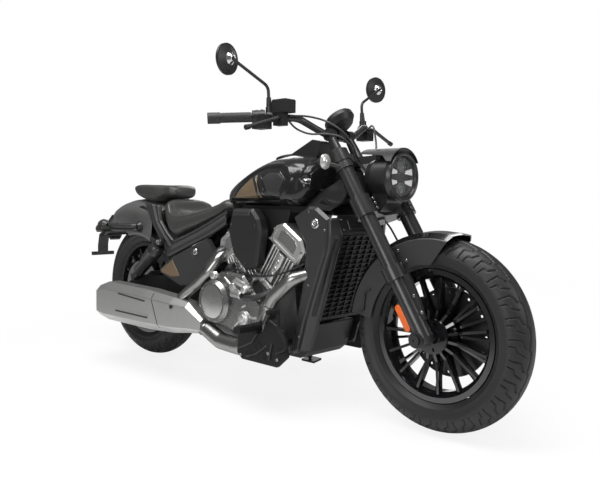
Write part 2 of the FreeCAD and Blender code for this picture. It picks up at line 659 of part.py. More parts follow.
def frame():
    """Steering head, two spars over the engine, pivot plates and the rear rails."""
    head = on_steering(rod((0, 0, HEAD_LOW), (0, 0, HEAD_HIGH), HEAD_TUBE_R))
    shapes = []
    for s in (1, -1):
        shapes.append(pipe([(1258, s * 26, 772), (1180, s * SPAR_Y, SPAR_Z), (735, s * SPAR_Y, SPAR_Z),
                            (585, s * SPAR_Y, 636), (535, s * SPAR_Y, 560), (535, s * SPAR_Y, 330)], 60.0, TUBE_R))
        low, high = sorted((s * PLATE_IN, s * PLATE_OUT))
        shapes.append(side_plate([(515, 470), (560, 470), (584, 400), (584, 250), (560, 215), (520, 260)], low, high))
        shapes.append(pipe([(535, s * SPAR_Y, 500), (440, s * RAIL_Y, 492), (320, s * RAIL_Y, 508),
                            (212, s * RAIL_Y, 590), (178, s * RAIL_Y, 668), (70, s * RAIL_Y, 706),
                            (-90, s * RAIL_Y, 690)], 50.0, RAIL_R))
    cross = [rod((535, -SPAR_Y, 480), (535, SPAR_Y, 480), 14.0), rod((1180, -SPAR_Y, SPAR_Z), (1180, SPAR_Y, SPAR_Z), 14.0),
             rod((735, -SPAR_Y, SPAR_Z), (735, SPAR_Y, SPAR_Z), 12.0)]
    solid = join(head, *shapes, *cross)
    solid = solid.cut(on_steering(rod((0, 0, 400), (0, 0, 760), STEM_R + RUNNING_GAP)))
    return solid.cut(rod((PIVOT_X, -100, PIVOT_Z), (PIVOT_X, 100, PIVOT_Z), 11.0 + SEAT_GAP))


SPOOL_Z = 380.0


def swingarm():
    low = SWINGARM_HALF - SWINGARM_THICK / 2
    high = SWINGARM_HALF + SWINGARM_THICK / 2
    lift = REAR_TYRE_R - 323.0
    arm = side_plate([(-42, 300 + lift), (-42, 346 + lift), (41, 392 + lift), (270, 408 + lift / 2), (410, 370),
                      (560, 372), (575, 345), (560, 318), (400, 325), (200, 304 + lift / 2), (0, 292 + lift)],
                     low, high, 12.0)
    arm = arm.cut(rod((0, 90, REAR_TYRE_R), (0, 150, REAR_TYRE_R), AXLE_R + SEAT_GAP))
    arm = arm.cut(rod((120, high - 14, SPOOL_Z), (120, high + 2, SPOOL_Z), 3.4))
    cross = rod((420, -low - 4, 346), (420, low + 4, 346), 22.0)
    shaft = rod((PIVOT_X, -high, PIVOT_Z), (PIVOT_X, high, PIVOT_Z), 11.0)
    return join(arm, mirrored(arm), cross, shaft)


def rear_axle():
    inner = SWINGARM_HALF - SWINGARM_THICK / 2
    outer = SWINGARM_HALF + SWINGARM_THICK / 2
    shaft = rod((0, -outer - 3, 0), (0, outer + 8, 0), AXLE_R)
    left = rod((0, BELT_LOW + BELT_WIDE + SEAT_GAP, 0), (0, inner - SEAT_GAP, 0), 18.0)
    right = rod((0, -REAR_HUB_HALF - SEAT_GAP, 0), (0, -inner + SEAT_GAP, 0), 18.0)
    nut = rod((0, outer + SEAT_GAP, 0), (0, outer + 12, 0), 17.0)
    solid = join(shaft, left, right, nut).cut(rod((0, -160, 0), (0, 160, 0), AXLE_BORE_R))
    solid.translate(REAR_AXLE)
    return solid


def rear_caliper():
    near = REAR_DISC_Y + SEAT_GAP
    body = side_plate([(88, 20), (138, 40), (120, 96), (74, 70)], -SWINGARM_HALF + SWINGARM_THICK / 2 + SEAT_GAP,
                      -near + 9, 8.0)
    slot = rod((0, -near - DISC_THICK - 2.5, 0), (0, -near + 2.5, 0), REAR_DISC_R + 4)
    solid = max(body.cut(slot).Solids, key=lambda s: s.Volume)
    solid.translate(REAR_AXLE)
    return solid


def rear_shocks():
    """Covered dampers with eyes on pins at both ends."""
    y = 152.0
    top = Vector(262, y, 558)
    low = Vector(52, y, 384)
    along = (low - top).normalize()
    body = cone(top + along * 22, top + along * 110, 30.0, 33.0)
    lower = rod(top + along * 110, low - along * 14, 19.0)
    eyes = [rod((p.x, y - 12, p.z), (p.x, y + 12, p.z), 15.0) for p in (top, low)]
    neck = rod(top + along * 4, top + along * 30, 11.0)
    pin_low = rod((low.x, SWINGARM_HALF + SWINGARM_THICK / 2 + SEAT_GAP, low.z), (low.x, y, low.z), 9.0)
    pin_top = rod((top.x, RAIL_Y + RAIL_R - 3, top.z), (top.x, y, top.z), 9.0)
    solid = join(body, lower, neck, *eyes)
    solid = join(solid, pin_low, pin_top)
    rail = pipe([(320, RAIL_Y, 508), (212, RAIL_Y, 590), (178, RAIL_Y, 668)], 50.0, RAIL_R + SEAT_GAP)
    return both(max(solid.cut(rail).Solids, key=lambda s: s.Volume))


def side_stand():
    """The leg and foot, standing on the floor plane of the leaning machine."""
    ground = STAND_FOOT_Y * math.tan(math.radians(LEAN))
    ankle = Vector(STAND_FOOT_X, STAND_FOOT_Y, ground + 14)
    eye = rod((STAND_PIVOT.x, STAND_PIVOT.y - 9, STAND_PIVOT.z), (STAND_PIVOT.x, STAND_PIVOT.y + 9, STAND_PIVOT.z), 18.0)
    leg = pipe([(STAND_PIVOT.x + 8, STAND_PIVOT.y, STAND_PIVOT.z - 16), (742, 205, 122), tuple(ankle)], 60.0, 9.0)
    pad = block(-34, 40, -24, 26, 0, 9)
    pad.rotate(ORIGIN, X_AXIS, LEAN)
    pad.translate(Vector(STAND_FOOT_X, STAND_FOOT_Y, ground))
    solid = join(eye, leg, pad)
    below = block(400, 1100, -400, 800, -300, 0)
    below.rotate(ORIGIN, X_AXIS, LEAN)
    solid = solid.cut(below)
    return solid.cut(rod((STAND_PIVOT.x, 100, STAND_PIVOT.z), (STAND_PIVOT.x, 200, STAND_PIVOT.z), 7.0 + RUNNING_GAP))


def stand_bracket():
    plate = side_plate([(660, 240), (740, 240), (724, 178), (676, 178)], CASE_HALF + SEAT_GAP,
                       STAND_PIVOT.y - 9 - RUNNING_GAP, 8.0)
    pin = rod((STAND_PIVOT.x, CASE_HALF + SEAT_GAP, STAND_PIVOT.z), (STAND_PIVOT.x, STAND_PIVOT.y + 14, STAND_PIVOT.z), 7.0)
    cap = rod((STAND_PIVOT.x, STAND_PIVOT.y + 9 + RUNNING_GAP, STAND_PIVOT.z),
              (STAND_PIVOT.x, STAND_PIVOT.y + 16, STAND_PIVOT.z), 13.0)
    return join(plate, pin, cap)


# Engine, cooling and exhaust

CASE_FLOOR = 186.0
CASE_OUTLINE = [(676, 474), (760, 512), (1000, 512), (1072, 440), (1086, 300), (1044, CASE_FLOOR),
                (676, CASE_FLOOR)]


def crankcase():
    main = side_plate(CASE_OUTLINE, -CASE_HALF, CASE_HALF, 20.0)
    gearbox = side_plate([(586, 400), (680, 480), (680, 188), (600, 200), (586, 240)], -CASE_HALF, PLATE_OUT, 14.0)
    shaft = rod((622, 0, 352), (622, 104, 352), 12.0)
    wheel = rod((622, BELT_LOW, 352), (622, BELT_LOW + BELT_WIDE, 352), 40.0)
    return join(main, gearbox, shaft, wheel)


def engine_covers():
    """Gear cover with the round clutch cover on the right, and the alternator cover on the left."""
    out = CASE_HALF + SEAT_GAP
    gear = bevelled([(612, 335), (659, 423), (706, 464), (757, 470), (846, 462), (898, 408), (952, 362), (942, 288),
                     (849, 252), (795, 240), (650, 266), (624, 292)], -out, -196, 10.0)
    clutch = join(rod((690, -206, 346), (690, -190, 346), 89.0), cone((690, -206, 346), (690, -220, 346), 89.0, 77.0))
    clutch = clutch.cut(rod((690, -222, 346), (690, -216, 346), 67.0))
    left = bevelled([(690, 400), (800, 468), (930, 440), (980, 330), (900, 222), (720, 250)], out, 184, 10.0, 24.0)
    alternator = join(rod((860, 180, 330), (860, 192, 330), 88.0), cone((860, 192, 330), (860, 202, 330), 88.0, 76.0))
    return Part.makeCompound([join(gear, clutch), join(left, alternator)])


def bank(side):
    """One pair of cylinders with cooling ribs round them."""
    body = block(-BANK_HALF + 8, BANK_HALF - 8, -BARREL_HALF, BARREL_HALF, BANK_LOW - 30, HEAD_LOW_L)
    ribs = []
    height = BANK_LOW + 34
    while height < HEAD_LOW_L - 14:
        ribs.append(block(-BANK_HALF, BANK_HALF, -BARREL_HALF - 8, BARREL_HALF + 8, height, height + 6))
        height += 16
    solid = on_bank(join(body, *ribs), side)
    return solid


def head(side, shift):
    """The head's cover, with a sunk panel in each end; shift slides it along the engine."""
    low = HEAD_LOW_L + SEAT_GAP
    outline = [(-HEAD_HALF, low), (-HEAD_HALF, HEAD_TOP_L - 34), (-HEAD_HALF + 30, HEAD_TOP_L),
               (HEAD_HALF - 34, HEAD_TOP_L), (HEAD_HALF, HEAD_TOP_L - 24), (HEAD_HALF, low)]
    panel = [(-HEAD_HALF + 16, HEAD_LOW_L + 16), (-HEAD_HALF + 16, HEAD_TOP_L - 40), (-HEAD_HALF + 36, HEAD_TOP_L - 15),
             (HEAD_HALF - 40, HEAD_TOP_L - 15), (HEAD_HALF - 15, HEAD_TOP_L - 32), (HEAD_HALF - 15, HEAD_LOW_L + 16)]
    half = bevelled(outline, 0, COVER_HALF, 8.0, 12.0)
    half = half.cut(side_plate(panel, COVER_HALF - 4, COVER_HALF + 4, 12.0))
    solid = join(half, mirrored(half))
    solid.translate(Vector(side * shift, 0, 0))
    return on_bank(solid, side).cut(bank(side))


def cylinder_heads():
    return Part.makeCompound([head(1, FRONT_HEAD_SHIFT), head(-1, 0.0)])


def air_pods():
    """The intake box between the cylinders with a bevelled pod on each side."""
    top = SPAR_Z - TUBE_R - 6.0
    box = side_plate([(830, 530), (950, 530), (1030, top), (750, top)], -121, 121, 10.0)
    pod = bevelled([(776, top), (890, top + 2), (925, top - 36), (938, top - 80), (915, 500), (850, 482), (782, 538),
                    (752, top - 88)], -150, -192, 10.0, 18.0)
    neck = side_plate([(800, top - 16), (880, top - 16), (910, top - 76), (890, 560), (830, 560), (800, top - 96)],
                      -156, -110, 12.0)
    right = join(pod, neck)
    clear = Part.makeCompound([bank(1), bank(-1), cylinder_heads()])
    body = join(box, right, mirrored(right)).cut(clear)
    return max(body.Solids, key=lambda s: s.Volume)


def radiator():
    """The core with its side tanks, and the grille of thin bars over its face."""
    core = block(-RAD_THICK, -6, -RAD_HALF, RAD_HALF, 0, RAD_TALL)
    tanks = [block(-RAD_THICK - 4, -4, -RAD_HALF, RAD_HALF, low, low + 20) for low in (-14, RAD_TALL - 6)]
    bars = []
    rows = round(RAD_TALL / GRILLE_ROW)
    for i in range(rows + 1):
        z = i * RAD_TALL / rows
        bars.append(block(-8, 0, -RAD_HALF, RAD_HALF, z - 1.5, z + 1.5))
    columns = round(2 * RAD_HALF / GRILLE_COLUMN)
    for i in range(columns + 1):
        y = -RAD_HALF + 2 + i * (2 * RAD_HALF - 4) / columns
        bars.append(block(-8, 1, y - 2, y + 2, -2, RAD_TALL + 2))
    foot = block(CRANK_X + CASE_FORE + SEAT_GAP, RAD_X - 28, -30, 30, 338, 356)
    return join(on_radiator(join(core, *tanks, *bars)), foot)


def radiator_shrouds():
    """A panel with bevelled edges at each side of the radiator."""
    outline = [(72, 690), (62, 582), (9, 438), (-36, 308), (-66, 205), (-98, 189), (-89, 246), (-71, 358),
               (-49, 468), (-37, 590), (-100, 690), (-26, 731), (12, 729)]
    plate = bevelled([(RAD_X + x, z) for x, z in outline], 150, 166, 10.0, 5.0)
    web = on_radiator(block(-34, -6, RAD_HALF + SEAT_GAP, 152, 6, RAD_TALL - 12))
    return both(join(plate, web))


def belly_pan():
    outline = [(RAD_X - 86, 296), (RAD_X - 28, 306), (RAD_X - 66, 196), (RAD_X - 100, 170), (RAD_X - 198, 170),
               (RAD_X - 198, CASE_FLOOR - SEAT_GAP), (RAD_X - 118, CASE_FLOOR - SEAT_GAP)]
    pan = side_plate(outline, -112, 112, 6.0)
    return pan.cut(side_plate(CASE_OUTLINE, -CASE_HALF, CASE_HALF, 20.0)).cut(radiator())


HEADER_R = 21.0
MUFFLER_Y = -208.0
FRONT_HEADER = [(1108, -95, 560), (1162, -130, 496), (1105, -186, 472), (1024, -204, 400), (978, -208, 322),
                (944, -208, 246), (862, -208, 190), (740, -208, 196), (640, -208, 236)]
REAR_HEADER = [(664, -118, 552), (676, -172, 512), (650, -204, 456), (591, -206, 410), (520, -206, 366), (478, -206, 336)]


def header_pipes():
    front = pipe(FRONT_HEADER, 60.0, HEADER_R)
    rear = pipe(REAR_HEADER, 50.0, HEADER_R)
    clear = Part.makeCompound([cylinder_heads(), bank(1), bank(-1), muffler(), radiator_shrouds()])
    solids = [max(p.cut(clear).Solids, key=lambda s: s.Volume) for p in (front, rear)]
    return Part.makeCompound(solids)


def muffler():
    """A deep silencer with flat facets, blunt at the back and tapered to the pipes at the front."""
    rows = [(-118, 40, 214, 318, 16), (-98, 56, 198, 340, 24), (-30, 60, 184, 362, 30), (290, 60, 184, 356, 30),
            (470, 54, 192, 342, 26), (560, 42, 204, 330, 20), (640, 26, 212, 270, 12)]
    sections = []
    for x, half, low, high, bevel in rows:
        outline = [(half, low + bevel), (half, high - bevel), (half - bevel, high), (-half + bevel, high),
                   (-half, high - bevel), (-half, low + bevel), (-half + bevel, low), (half - bevel, low)]
        points = [Vector(y, z, 0) for y, z in outline]
        wire = rounded_path(points, 8.0, closed=True)
        wire.rotate(ORIGIN, Vector(1, 1, 1), 120.0)
        wire.translate(Vector(x, MUFFLER_Y, 0))
        sections.append(wire)
    return Part.makeLoft(sections, True, True)


def coolant_hose():
    """A short hose that bends from the gear cover up toward the radiator."""
    path = [(852, -190, 381), (880, -212, 382), (925, -212, 386), (965, -196, 398), (1000, -168, 420), (1032, -150, 452)]
    hose = pipe(path, 60.0, 12.0)
    clear = Part.makeCompound([engine_covers(), crankcase(), header_pipes(), head(1, FRONT_HEAD_SHIFT), bank(1)])
    return max(hose.cut(clear).Solids, key=lambda s: s.Volume)


def engine_cable():
    path = [(772, -168, 482.9), (830, -172, 466.9), (892, -172, 460.9), (956, -170, 466.9), (1018, -168, 479),
            (1074, -160, 500), (1120, -142, 524)]
    clear = Part.makeCompound([engine_covers(), air_pods(), radiator(), radiator_shrouds(), bank(1), bank(-1),
                               cylinder_heads(), header_pipes(), coolant_hose(), crankcase()])
    return max(cord("engine cable", path).cut(clear).Solids, key=lambda s: s.Volume)


# Body work

CAP_X = 868.0


def tank_shape(grow=0.0):
    rows = [(600, 24, 744, 772, 2.2), (614, 52, 736, 784, 2.2), (650, 94, 728, 808, 2.2), (700, 130, 722, 832, 2.2),
            (760, 151, 722, 862, 2.2), (840, 165, 722, 896, 2.3), (930, 169, 722, 919, 2.4), (1020, 166, 718, 924, 2.6),
            (1090, 156, 726, 910, 2.6), (1136, 132, 770, 886, 2.4), (1150, 96, 800, 858, 2.2)]
    lift = SPAR_Z - 738.0
    sections = [oval(x, half + grow, low + lift - grow, high + lift + grow, power, 0.36)
                for x, half, low, high, power in rows]
    return skin(sections)


def fuel_tank():
    """The tank, hollow below where it sits over the frame's spars, with a flush filler cap."""
    tunnel = block(500, 1250, -SPAR_Y - TUBE_R - 6, SPAR_Y + TUBE_R + 6, 600, SPAR_Z + TUBE_R + SEAT_GAP)
    tank = tank_shape().cut(tunnel)
    cap = rod((CAP_X, 0, SPAR_Z + 120), (CAP_X, 0, SPAR_Z + 168), 34.0)
    return join(max(tank.Solids, key=lambda s: s.Volume), cap)


def tank_display():
    """The rider's display in a wedge on the tank's crown."""
    outline = [(955, 192), (1058, 240), (1100, 232), (1082, 177), (1060, 160), (935, 165)]
    wedge = side_plate([(x, SPAR_Z + z) for x, z in outline], -44, 44, 6.0)
    return wedge.cut(tank_shape(SEAT_GAP))


def rider_seat():
    rows = [(228, 92, 668, 738, 2.2), (268, 128, 622, 734, 2.4), (330, 148, 578, 722, 2.6), (420, 152, 604, 722, 2.6),
            (520, 142, 636, 738, 2.6), (600, 122, 664, 758, 2.4), (676, 128, 692, 752, 2.4)]
    seat = skin([oval(x, half, low, high, power, 0.5) for x, half, low, high, power in rows])
    tunnel = side_plate([(440, 500), (540, 640), (640, 712), (720, 800), (800, 800), (760, 500)], -96, 96, 4.0)
    seat = seat.cut(tunnel).cut(tank_shape(SEAT_GAP)).cut(fender_clear(REAR_FENDER_R + SEAT_GAP))
    return max(seat.Solids, key=lambda s: s.Volume)


def fender_clear(radius):
    solid = rod((0, -200, 0), (0, 200, 0), radius)
    solid.translate(REAR_AXLE)
    return solid


def pillion_seat():
    rows = [(-60, 40, 7, 35, 2.2), (-20, 92, -18, 49, 2.4), (60, 111, -28, 55, 2.6), (140, 98, -25, 49, 2.6),
            (200, 74, -21, 43, 2.4), (238, 58, -17, 33, 2.2)]
    pad = skin([oval(x, half, DECK + low, DECK + high, power, 0.5) for x, half, low, high, power in rows])
    return pad.cut(fender_clear(REAR_FENDER_R + SEAT_GAP))


def rear_fender():
    r = REAR_FENDER_R
    w = REAR_FENDER_HALF
    t = FENDER_WALL
    skirt = r - 172.0
    outline = [(-w, skirt), (-w, r - 40), (-w + 34, r - 6), (0, r), (w - 34, r - 6), (w, r - 40), (w, skirt),
               (w - t, skirt), (w - t, r - 42), (w - 36, r - 9), (0, r - t), (-w + 36, r - 9), (-w + t, r - 42),
               (-w + t, skirt)]
    return spun(outline, REAR_AXLE, 64.0, 81.0)


def seat_rail_panels():
    """Trim strips along the rails: one up beside the fender, one below the seat."""
    inner = RAIL_Y + RAIL_R + SEAT_GAP
    rear = side_plate([(147, 627), (198, 590), (222, 598), (214, 650), (206, 734), (126, 700)], inner, inner + 8, 8.0)
    lower = side_plate([(206, 612), (200, 592), (240, 588), (286, 556), (318, 545), (640, 662), (640, 640), (560, 600),
                        (345, 522), (312, 530), (280, 566), (250, 608)], inner, inner + 8, 3.0)
    return both(join(rear, lower))


def side_covers():
    outline = [(261, 438), (359, 500), (584, 589), (630, 533), (600, 470), (528, 401), (413, 379), (267, 424)]
    shell = side_plate(outline, RAIL_Y + RAIL_R + SEAT_GAP + 8 + SEAT_GAP, 160, 10.0)
    boss = rod((380, RAIL_Y + RAIL_R + SEAT_GAP, 500), (380, 150, 500), 9.0)
    return both(join(shell, boss))


def foot_controls():
    """Forward pegs on brackets that stand off the crankcase, with a pedal ahead of each."""
    plate = bevelled([(873, 180), (900, 158), (1086, 157), (1138, 202), (1122, 292), (1044, 326), (1025, 299),
                      (1013, 272), (881, 270)], -232, -246, 4.0, 10.0)
    posts = [rod((1052, -CASE_HALF - SEAT_GAP, 230), (1052, -236, 230), 12.0),
             rod((1010, -CASE_HALF - SEAT_GAP, 206), (1010, -236, 206), 12.0)]
    hinge = rod((980, -262, 286), (980, -233, 286), 20.0)
    peg = side_plate([(962, 276), (964, 298), (996, 302), (1000, 278)], -342, -252, 6.0)
    pedal = pipe([(1100, -238, 214), (1100, -262, 214), (1166, -266, 246), (1118, -268, 306), (1112, -268, 372)],
                 30.0, 6.5)
    tread = rod((1112, -268, 366), (1112, -318, 366), 9.0)
    right = join(plate, hinge, peg, pedal, tread, *posts)
    return both(right)


def drive_belt():
    def loop(extra):
        big = rod((0, BELT_LOW, REAR_TYRE_R), (0, BELT_LOW + BELT_WIDE, REAR_TYRE_R), PULLEY_R + extra)
        small = rod((622, BELT_LOW, 352), (622, BELT_LOW + BELT_WIDE, 352), 40.0 + extra)
        a = Vector(0, BELT_LOW, REAR_TYRE_R)
        b = Vector(622, BELT_LOW, 352)
        span = b - a
        tilt = math.atan2(span.z, span.x)
        spread = math.acos((PULLEY_R - 40.0) / span.Length)
        points = []
        for centre, radius, sign in ((a, PULLEY_R + extra, 1), (b, 40.0 + extra, 1), (b, 40.0 + extra, -1),
                                     (a, PULLEY_R + extra, -1)):
            angle = tilt + sign * spread
            points.append(centre + Vector(math.cos(angle), 0, math.sin(angle)) * radius)
        flat = Part.Face(Part.makePolygon(points + points[:1])).extrude(Vector(0, BELT_WIDE, 0))
        return join(big, small, flat)
    return loop(RUNNING_GAP + BELT_THICK).cut(loop(RUNNING_GAP))


PLATE_HOLE_Y = 48.0
PLATE_HOLE_R = 3.2
PLATE_BAR_THICK = 18.0
PLATE_BAR = TAIL + Vector(-114, 0, -107)


def tail_carrier():
    """The curved arm from the fender's end with the crossbar that carries the plate."""
    crest = REAR_FENDER_R - FENDER_WALL
    strip = spun([(-34, crest - 14), (34, crest - 14), (34, crest), (-34, crest)], REAR_AXLE, 134.0, 15.0)
    strip = strip.cut(rear_fender())
    outline = [(17, -22), (-3, 12), (-55, 24), (-107, -6), (-121, -65), (-121, -116), (-105, -116), (-105, -62),
               (-95, -18), (-55, 4), (-23, -6), (3, -32)]
    arm = side_plate([(TAIL.x + x, TAIL.z + z) for x, z in outline], -26, 26, 5.0)
    x, z = PLATE_BAR.x, PLATE_BAR.z
    bar = block(x - PLATE_BAR_THICK / 2, x + PLATE_BAR_THICK / 2, -62, 62, z - 9, z + 9)
    holes = [rod((x - 20, s * PLATE_HOLE_Y, z), (x + 20, s * PLATE_HOLE_Y, z), PLATE_HOLE_R) for s in (1, -1)]
    return join(strip, arm, bar).cut(Part.makeCompound(holes))


def tail_lamps():
    """Stop lamp on the fender's end and an indicator on a short arm at each side."""
    lamp = block(REAR_FENDER_R - 2, REAR_FENDER_R + 26, -46, 46, -18, 18)
    lamp.rotate(ORIGIN, Y_AXIS, -136.0)
    lamp.translate(REAR_AXLE)
    lamp = lamp.cut(rear_fender())
    lamp = max(lamp.Solids, key=lambda s: s.Volume)
    z = DECK - 161
    base = rod((40, REAR_FENDER_HALF + SEAT_GAP, z), (40, REAR_FENDER_HALF + 10, z), 14.0)
    arm = pipe([(40, REAR_FENDER_HALF + 8, z), (40, 138, z), (-80, 196, z + 1)], 20.0, 8.0)
    bulb = side_plate([(-136, z - 14), (-144, z + 1), (-136, z + 18), (-80, z + 15), (-72, z + 1), (-80, z - 12)],
                      184, 240, 6.0)
    side = join(base, arm, bulb)
    return Part.makeCompound([lamp, side, mirrored(side)])


# The whole machine, part by part

NODES = {}
NODES.update(front_wheel_parts())
NODES.update(rear_wheel_parts())
NODES["steering_clamps"] = steering_clamps()
NODES["fork_uppers"] = fork_uppers()
NODES["fork_lowers"] = fork_lowers()
NODES["front_axle"] = front_axle()
NODES["handlebar"] = handlebar()
NODES["grips"] = grips()
NODES["bar_controls"] = bar_controls()
NODES["mirrors"] = mirrors()
NODES["front_indicators"] = front_indicators()
NODES["control_cables"] = control_cables()
NODES["gauge"] = gauge()
NODES["headlight"] = headlight()
NODES["headlight_lens"] = headlight_lens()
NODES["visor"] = visor()
NODES["front_fender"] = front_fender()
NODES["front_caliper"] = front_caliper()
NODES["frame"] = frame()
NODES["swingarm"] = swingarm()
NODES["rear_axle"] = rear_axle()
NODES["rear_caliper"] = rear_caliper()
NODES["rear_shocks"] = rear_shocks()
NODES["side_stand"] = side_stand()
NODES["stand_bracket"] = stand_bracket()
NODES["crankcase"] = crankcase()
NODES["engine_covers"] = engine_covers()
NODES["front_cylinders"] = bank(1)
NODES["rear_cylinders"] = bank(-1)
NODES["cylinder_heads"] = cylinder_heads()
NODES["air_pods"] = air_pods()
NODES["radiator"] = radiator()
NODES["radiator_shrouds"] = radiator_shrouds()
NODES["belly_pan"] = belly_pan()
NODES["header_pipes"] = header_pipes()
NODES["coolant_hose"] = coolant_hose()
NODES["engine_cable"] = engine_cable()
NODES["muffler"] = muffler()
NODES["fuel_tank"] = fuel_tank()
NODES["tank_display"] = tank_display()
NODES["rider_seat"] = rider_seat()
NODES["pillion_seat"] = pillion_seat()
NODES["rear_fender"] = rear_fender()
NODES["seat_rail_panels"] = seat_rail_panels()
NODES["side_covers"] = side_covers()
NODES["foot_controls"] = foot_controls()
NODES["drive_belt"] = drive_belt()
NODES["tail_carrier"] = tail_carrier()
NODES["tail_lamps"] = tail_lamps()
NODES["front_cylinders"] = NODES["front_cylinders"].cut(NODES["crankcase"])
NODES["rear_cylinders"] = NODES["rear_cylinders"].cut(NODES["crankcase"]).cut(NODES["front_cylinders"])


def leaned(shape):
    moved = shape.copy()
    moved.rotate(ORIGIN, X_AXIS, -LEAN)
    return moved


PARKED = {name: leaned(shape) for name, shape in NODES.items()}
BOX = Part.makeCompound(list(PARKED.values())).optimalBoundingBox(False)
SHIFT = Vector(-(BOX.XMin + BOX.XMax) / 2, -(BOX.YMin + BOX.YMax) / 2, -BOX.ZMin)
os.makedirs("parts", exist_ok=True)
for name, shape in PARKED.items():
    shape.translate(SHIFT)
    shape.exportStep("parts/" + name + ".step")
print("box", round(BOX.XLength, 1), round(BOX.YLength, 1), round(BOX.ZLength, 1), "shift", SHIFT)
for name, shape in PARKED.items():
    print(name, len(shape.Solids), round(shape.Volume / 1e6, 3), shape.isValid())
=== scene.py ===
import json
import math

import bpy
import numpy as np
from mathutils import Matrix, Vector
from mathutils.bvhtree import BVHTree


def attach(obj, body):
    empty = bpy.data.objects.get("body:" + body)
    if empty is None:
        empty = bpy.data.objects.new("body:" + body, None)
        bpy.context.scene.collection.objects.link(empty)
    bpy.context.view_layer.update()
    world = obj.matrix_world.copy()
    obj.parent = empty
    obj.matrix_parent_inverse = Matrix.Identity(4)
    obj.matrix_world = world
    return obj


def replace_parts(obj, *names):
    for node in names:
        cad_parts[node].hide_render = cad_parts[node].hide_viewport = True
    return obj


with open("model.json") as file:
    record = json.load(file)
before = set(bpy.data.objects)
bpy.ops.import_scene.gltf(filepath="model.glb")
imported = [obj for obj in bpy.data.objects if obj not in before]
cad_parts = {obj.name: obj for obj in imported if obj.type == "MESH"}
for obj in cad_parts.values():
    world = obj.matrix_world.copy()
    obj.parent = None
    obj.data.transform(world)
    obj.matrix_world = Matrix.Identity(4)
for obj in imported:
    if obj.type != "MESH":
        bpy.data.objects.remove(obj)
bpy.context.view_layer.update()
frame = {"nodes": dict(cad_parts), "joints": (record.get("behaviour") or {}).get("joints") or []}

# Tyres. Each is a moulded rubber tyre with a round crown, cut with slanted zigzag grooves that
# start near the middle and run out to the shoulder. The beads are held behind the rim flanges.

# The machine is described upright, from the floor under its rear axle, and parks leaning over.
rear_spin = next(j for j in frame["joints"] if j["name"] == "rear_wheel_spin")
front_spin = next(j for j in frame["joints"] if j["name"] == "front_wheel_spin")
rear_axle_at = Vector(rear_spin["pos_m"])
front_axle_at = Vector(front_spin["pos_m"])
LEAN = math.atan2(-rear_spin["axis"][2], rear_spin["axis"][1])
REAR_AXLE_HEIGHT = 0.323
tip = Matrix.Rotation(-LEAN, 4, "X")
park = Matrix.Translation(rear_axle_at) @ tip @ Matrix.Translation((0, 0, -REAR_AXLE_HEIGHT))
FRONT_AXLE = park.inverted() @ front_axle_at


def mesh_piece(name, points, faces, finish, smooth=True):
    """A piece from points of the upright machine, set where the parked machine has them."""
    mesh = bpy.data.meshes.new(name)
    mesh.from_pydata([tuple(p) for p in points], [], faces)
    mesh.validate()
    mesh.transform(park)
    mesh.polygons.foreach_set("use_smooth", [smooth] * len(mesh.polygons))
    mesh.materials.append(finish)
    piece = bpy.data.objects.new(name, mesh)
    bpy.context.scene.collection.objects.link(piece)
    return piece


class Value:
    """A shader socket that takes part in sums."""

    def __init__(self, nodes, socket):
        self.nodes = nodes
        self.socket = socket

    def sum(self, operation, *terms):
        return self.nodes.node("ShaderNodeMath", {"operation": operation}, dict(enumerate(terms)))

    def __add__(self, other):
        return self.sum("ADD", self, other)

    def __sub__(self, other):
        return self.sum("SUBTRACT", self, other)

    def __rsub__(self, other):
        return self.sum("SUBTRACT", other, self)

    def __mul__(self, other):
        return self.sum("MULTIPLY", self, other)

    __radd__ = __add__
    __rmul__ = __mul__


class Nodes:
    """A node tree, with the one way to add a node to it and to give a socket what it takes."""

    def __init__(self, tree):
        self.tree = tree

    def node(self, kind, settings=None, inputs=None, output=0):
        """A node of this type: its settings first, then what its sockets take."""
        made = self.tree.nodes.new(kind)
        for key, value in (settings or {}).items():
            setattr(made, key, value)
        for key, value in (inputs or {}).items():
            self.feed(made.inputs[key], value)
        return Value(self, made.outputs[output])

    def feed(self, socket, value):
        if isinstance(value, Value):
            self.tree.links.new(value.socket, socket)
        else:
            socket.default_value = value


class Finish(Nodes):
    """One material: a Principled shader and the nodes that feed it."""

    def __init__(self, name, **constants):
        self.material = bpy.data.materials.new(name)
        self.material.use_nodes = True
        super().__init__(self.material.node_tree)
        self.shader = self.tree.nodes["Principled BSDF"]
        for socket, value in constants.items():
            self.put(socket, value)

    def put(self, socket, value):
        """Gives a socket of the shader a constant or a link."""
        self.feed(self.shader.inputs[socket.replace("_", " ")], value)

    def noise(self, scale, detail=3.0):
        """Cloudy noise over the piece, scale in cycles a metre."""
        place = self.node("ShaderNodeTexCoord", output="Object")
        return self.node("ShaderNodeTexNoise", {}, {"Vector": place, "Scale": scale, "Detail": detail})

    def blend(self, share, first, second):
        return self.node("ShaderNodeMix", {"data_type": "RGBA"}, {0: share, 6: first, 7: second}, output=2)

    def relief(self, height, depth):
        """Surface relief of this depth in metres."""
        self.put("Normal", self.node("ShaderNodeBump", {}, {"Height": height, "Distance": depth}))


def rgba(color):
    """A colour as a socket takes it; a single number stands for a grey."""
    return (*color, 1) if isinstance(color, tuple) else (color, color, color, 1)


def grained(name, color, lighter, roughness, spread, scale, depth, **constants):
    """A finish with cloudy colour and gloss and a fine relief, as moulded and painted skins have."""
    finish = Finish(name, **constants)
    broad = finish.noise(scale * 0.05)
    fine = finish.noise(scale, 5.0)
    finish.put("Base Color", finish.blend(broad, rgba(color), rgba(lighter)))
    finish.put("Roughness", fine * spread + (roughness - spread / 2))
    finish.relief(fine, depth)
    return finish.material


tyre_rubber = grained("tyre_rubber", 0.01, 0.015, 0.5, 0.1, 700, 0.0001, Specular_IOR_Level=0.4)

